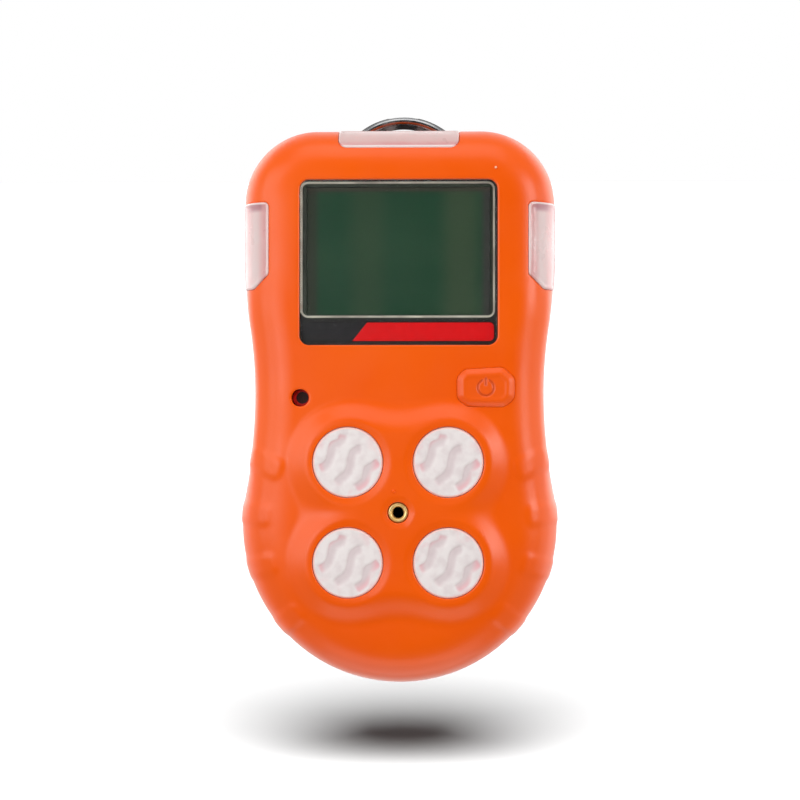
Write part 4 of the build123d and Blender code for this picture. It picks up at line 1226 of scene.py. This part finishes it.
def make_insert():
    """Brass insert: chamfered mouth, threaded bore and a turned outer edge."""
    low, high = box_mm("calibration_insert")
    outer, front, back = high[0], low[1], high[1]
    middle, bead = (outer + THREAD_R) / 2 + 0.04, (outer - THREAD_R) / 2 - 0.04
    profile = [(outer, back), (outer, front + bead)]
    profile += [(middle + bead * math.cos(turn), front + bead * (1 - math.sin(turn)))
                for turn in np.linspace(0.2, 3.0, 12)]
    depth = front + bead + 0.15
    while depth < back - 0.5:
        profile += [(THREAD_R, depth), (THREAD_R + 0.16, depth + THREAD_PITCH / 2)]
        depth += THREAD_PITCH
    profile += [(THREAD_R, back - 0.2), (THREAD_R + 0.1, back)]
    piece = mesh_object("calibration_insert_brass", lathe_mesh(profile), brass_paint(),
                        sharp=25)
    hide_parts("calibration_insert")


def make_spring(paint):
    """The clip's spring, copied as it is; the real coil twists as the clip opens, so each leg keeps
    its side.
    """
    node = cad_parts["clip_spring"]
    mesh = node.data.copy()
    mesh.transform(node.matrix_world)
    mesh.materials.clear()
    mesh.materials.append(paint)
    piece = add_object("clip_spring_wire", mesh)
    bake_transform(piece)
    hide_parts("clip_spring")


# --- Stage ---

CAMERA_TARGET = (0.43, 0.0, 24.4)
CAMERA_DISTANCE = 600.0
CAMERA_AZIMUTH = 1.75
CAMERA_ELEVATION = -0.7
VIEW_WIDTH = 173.3
# In metres
CAMERA_CLIP = (0.01, 20)
FLOOR_Z = -57.4
# The floor falls away towards the camera, so that the shadow on it looks as tall as it should
FLOOR_SLOPE = 7.0
# In metres, from the middle of the floor to its edge
FLOOR_SIZE = 4.0

# Soft square lamps: name, direction, distance and size in metres, power
LAMPS = [
    ("front_left", (-0.5, -1.0, 0.05), 0.3, 0.12, 0.14),
    ("key_left", (-1.0, -0.8, 0.35), 0.75, 0.62, 2.7),
    ("key_right", (1.0, -0.7, 0.3), 0.75, 0.36, 2.4),
    ("top", (0.0, -0.5, 1.0), 0.8, 0.6, 1.6),
    ("bounce", (0.0, -0.1, -1.0), 0.8, 0.9, 3.5),
    ("side_left", (-1.0, 0.25, 0.0), 0.8, 0.7, 0.9),
    ("side_right", (1.0, 0.25, 0.0), 0.8, 0.7, 1.6),
    ("back_left", (-0.8, 0.9, 0.45), 0.9, 0.7, 1.6),
    ("back_right", (0.8, 0.9, 0.45), 0.9, 0.7, 1.6),
]
# The lamp that casts the shadow on the floor: its power, how soft it is and how far it leans back
SUN_POWER = 58.0
SUN_ANGLE = 58.0
SUN_TILT = 35.0
# The surroundings' brightness by how far back a direction looks, as (from, to, low, high).
# The second of them shows only in reflections.
WORLD_STEPS = [(-0.95, -0.45, 0.02, 0.4), (0.0, 0.8, 0.0, 0.8)]


def face_along(thing, way):
    """Turns a camera or lamp so that it looks against a direction."""
    thing.rotation_mode = "QUATERNION"
    thing.rotation_quaternion = way.to_track_quat("Z", "Y")


def make_camera():
    camera = add_object("camera", bpy.data.cameras.new("camera"))
    a, e = math.radians(CAMERA_AZIMUTH), math.radians(CAMERA_ELEVATION)
    back = Vector((math.sin(a) * math.cos(e), -math.cos(a) * math.cos(e), math.sin(e)))
    camera.location = (Vector(CAMERA_TARGET) + back * CAMERA_DISTANCE) * MM
    face_along(camera, back)
    camera.data.lens = camera.data.sensor_width * CAMERA_DISTANCE / VIEW_WIDTH
    camera.data.clip_start, camera.data.clip_end = CAMERA_CLIP
    scene.camera = camera


def make_floor():
    mesh = bpy.data.meshes.new("floor")
    size, z = FLOOR_SIZE, FLOOR_Z * MM
    rise = size * math.tan(math.radians(FLOOR_SLOPE))
    corners = [(-size, -size, z - rise), (size, -size, z - rise), (size, size, z + rise),
               (-size, size, z + rise)]
    mesh.from_pydata(corners, [], [(0, 1, 2, 3)])
    floor = add_object("floor", mesh)
    paint = Paint("floor_paper", (74, 74, 74), 0.9)
    paint.colour(paint.patches((74, 74, 74), (73, 73, 73), 3, high=0.65))
    mesh.materials.append(paint.material)
    floor.visible_glossy = floor.visible_diffuse = False
    return floor


def make_lamps():
    """Soft lamps that light the detector alone."""
    detector = bpy.data.collections.new("detector_pieces")
    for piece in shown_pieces():
        detector.objects.link(piece)
    for name, direction, distance, size, power in LAMPS:
        light = bpy.data.lights.new(name, "AREA")
        light.shape, light.size, light.energy = "SQUARE", size, power
        lamp = add_object(name, light)
        way = Vector(direction).normalized()
        lamp.location = Vector(CAMERA_TARGET) * MM + way * distance
        face_along(lamp, way)
        lamp.light_linking.receiver_collection = detector


def make_sun(floor):
    """A soft sun that lights the floor alone, so that the detector shades it."""
    ground = bpy.data.collections.new("ground")
    ground.objects.link(floor)
    light = bpy.data.lights.new("overhead", "SUN")
    light.energy, light.angle = SUN_POWER, math.radians(SUN_ANGLE)
    sun = add_object("overhead", light)
    sun.rotation_euler = (math.radians(SUN_TILT), 0, 0)
    sun.light_linking.receiver_collection = ground


def make_world():
    """Soft white surroundings: dark behind the camera, and brightest behind the detector."""
    world = bpy.data.worlds.new("studio")
    world.use_nodes = True
    world.cycles.sampling_method = "NONE"
    scene.world = world
    graph = Nodes(world.node_tree)
    back = graph.split(graph.node("ShaderNodeTexCoord", output="Generated"))[1]
    near, far = [graph.ramp(back, *step) for step in WORLD_STEPS]
    glossy, direct = [graph.node("ShaderNodeLightPath", output=f"Is {kind} Ray")
                      for kind in ("Glossy", "Camera")]
    light = graph.math("ADD", near, graph.times(far, glossy))
    background = graph.tree.nodes["Background"]
    graph.put(background.inputs["Strength"], graph.math("MAXIMUM", direct, light))
    background.inputs["Color"].default_value = (1, 1, 1, 1)


scene.view_settings.view_transform = "Standard"
make_camera()
housing = housing_paint()
loops = lens_loops()
make_front_shell(loops, housing)
make_rear_shell(housing)
for lens_name, lens_loop in loops.items():
    make_lens(lens_name, lens_loop)
groove_lines = disc_grooves()
for port_name, port_centre in zip(PORTS, PORT_CENTRES):
    make_filter(f"filter_{port_name}", port_centre, groove_lines)
make_button(button_paint())
make_window()
make_window_mask()
make_insert()
cad_paints = cad_materials()
make_spring(cad_paints["clip_pin"])
for node_name, node_material in cad_paints.items():
    node_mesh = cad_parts[node_name].data
    node_mesh.materials.clear()
    node_mesh.materials.append(node_material)
make_world()
make_lamps()
make_sun(make_floor())
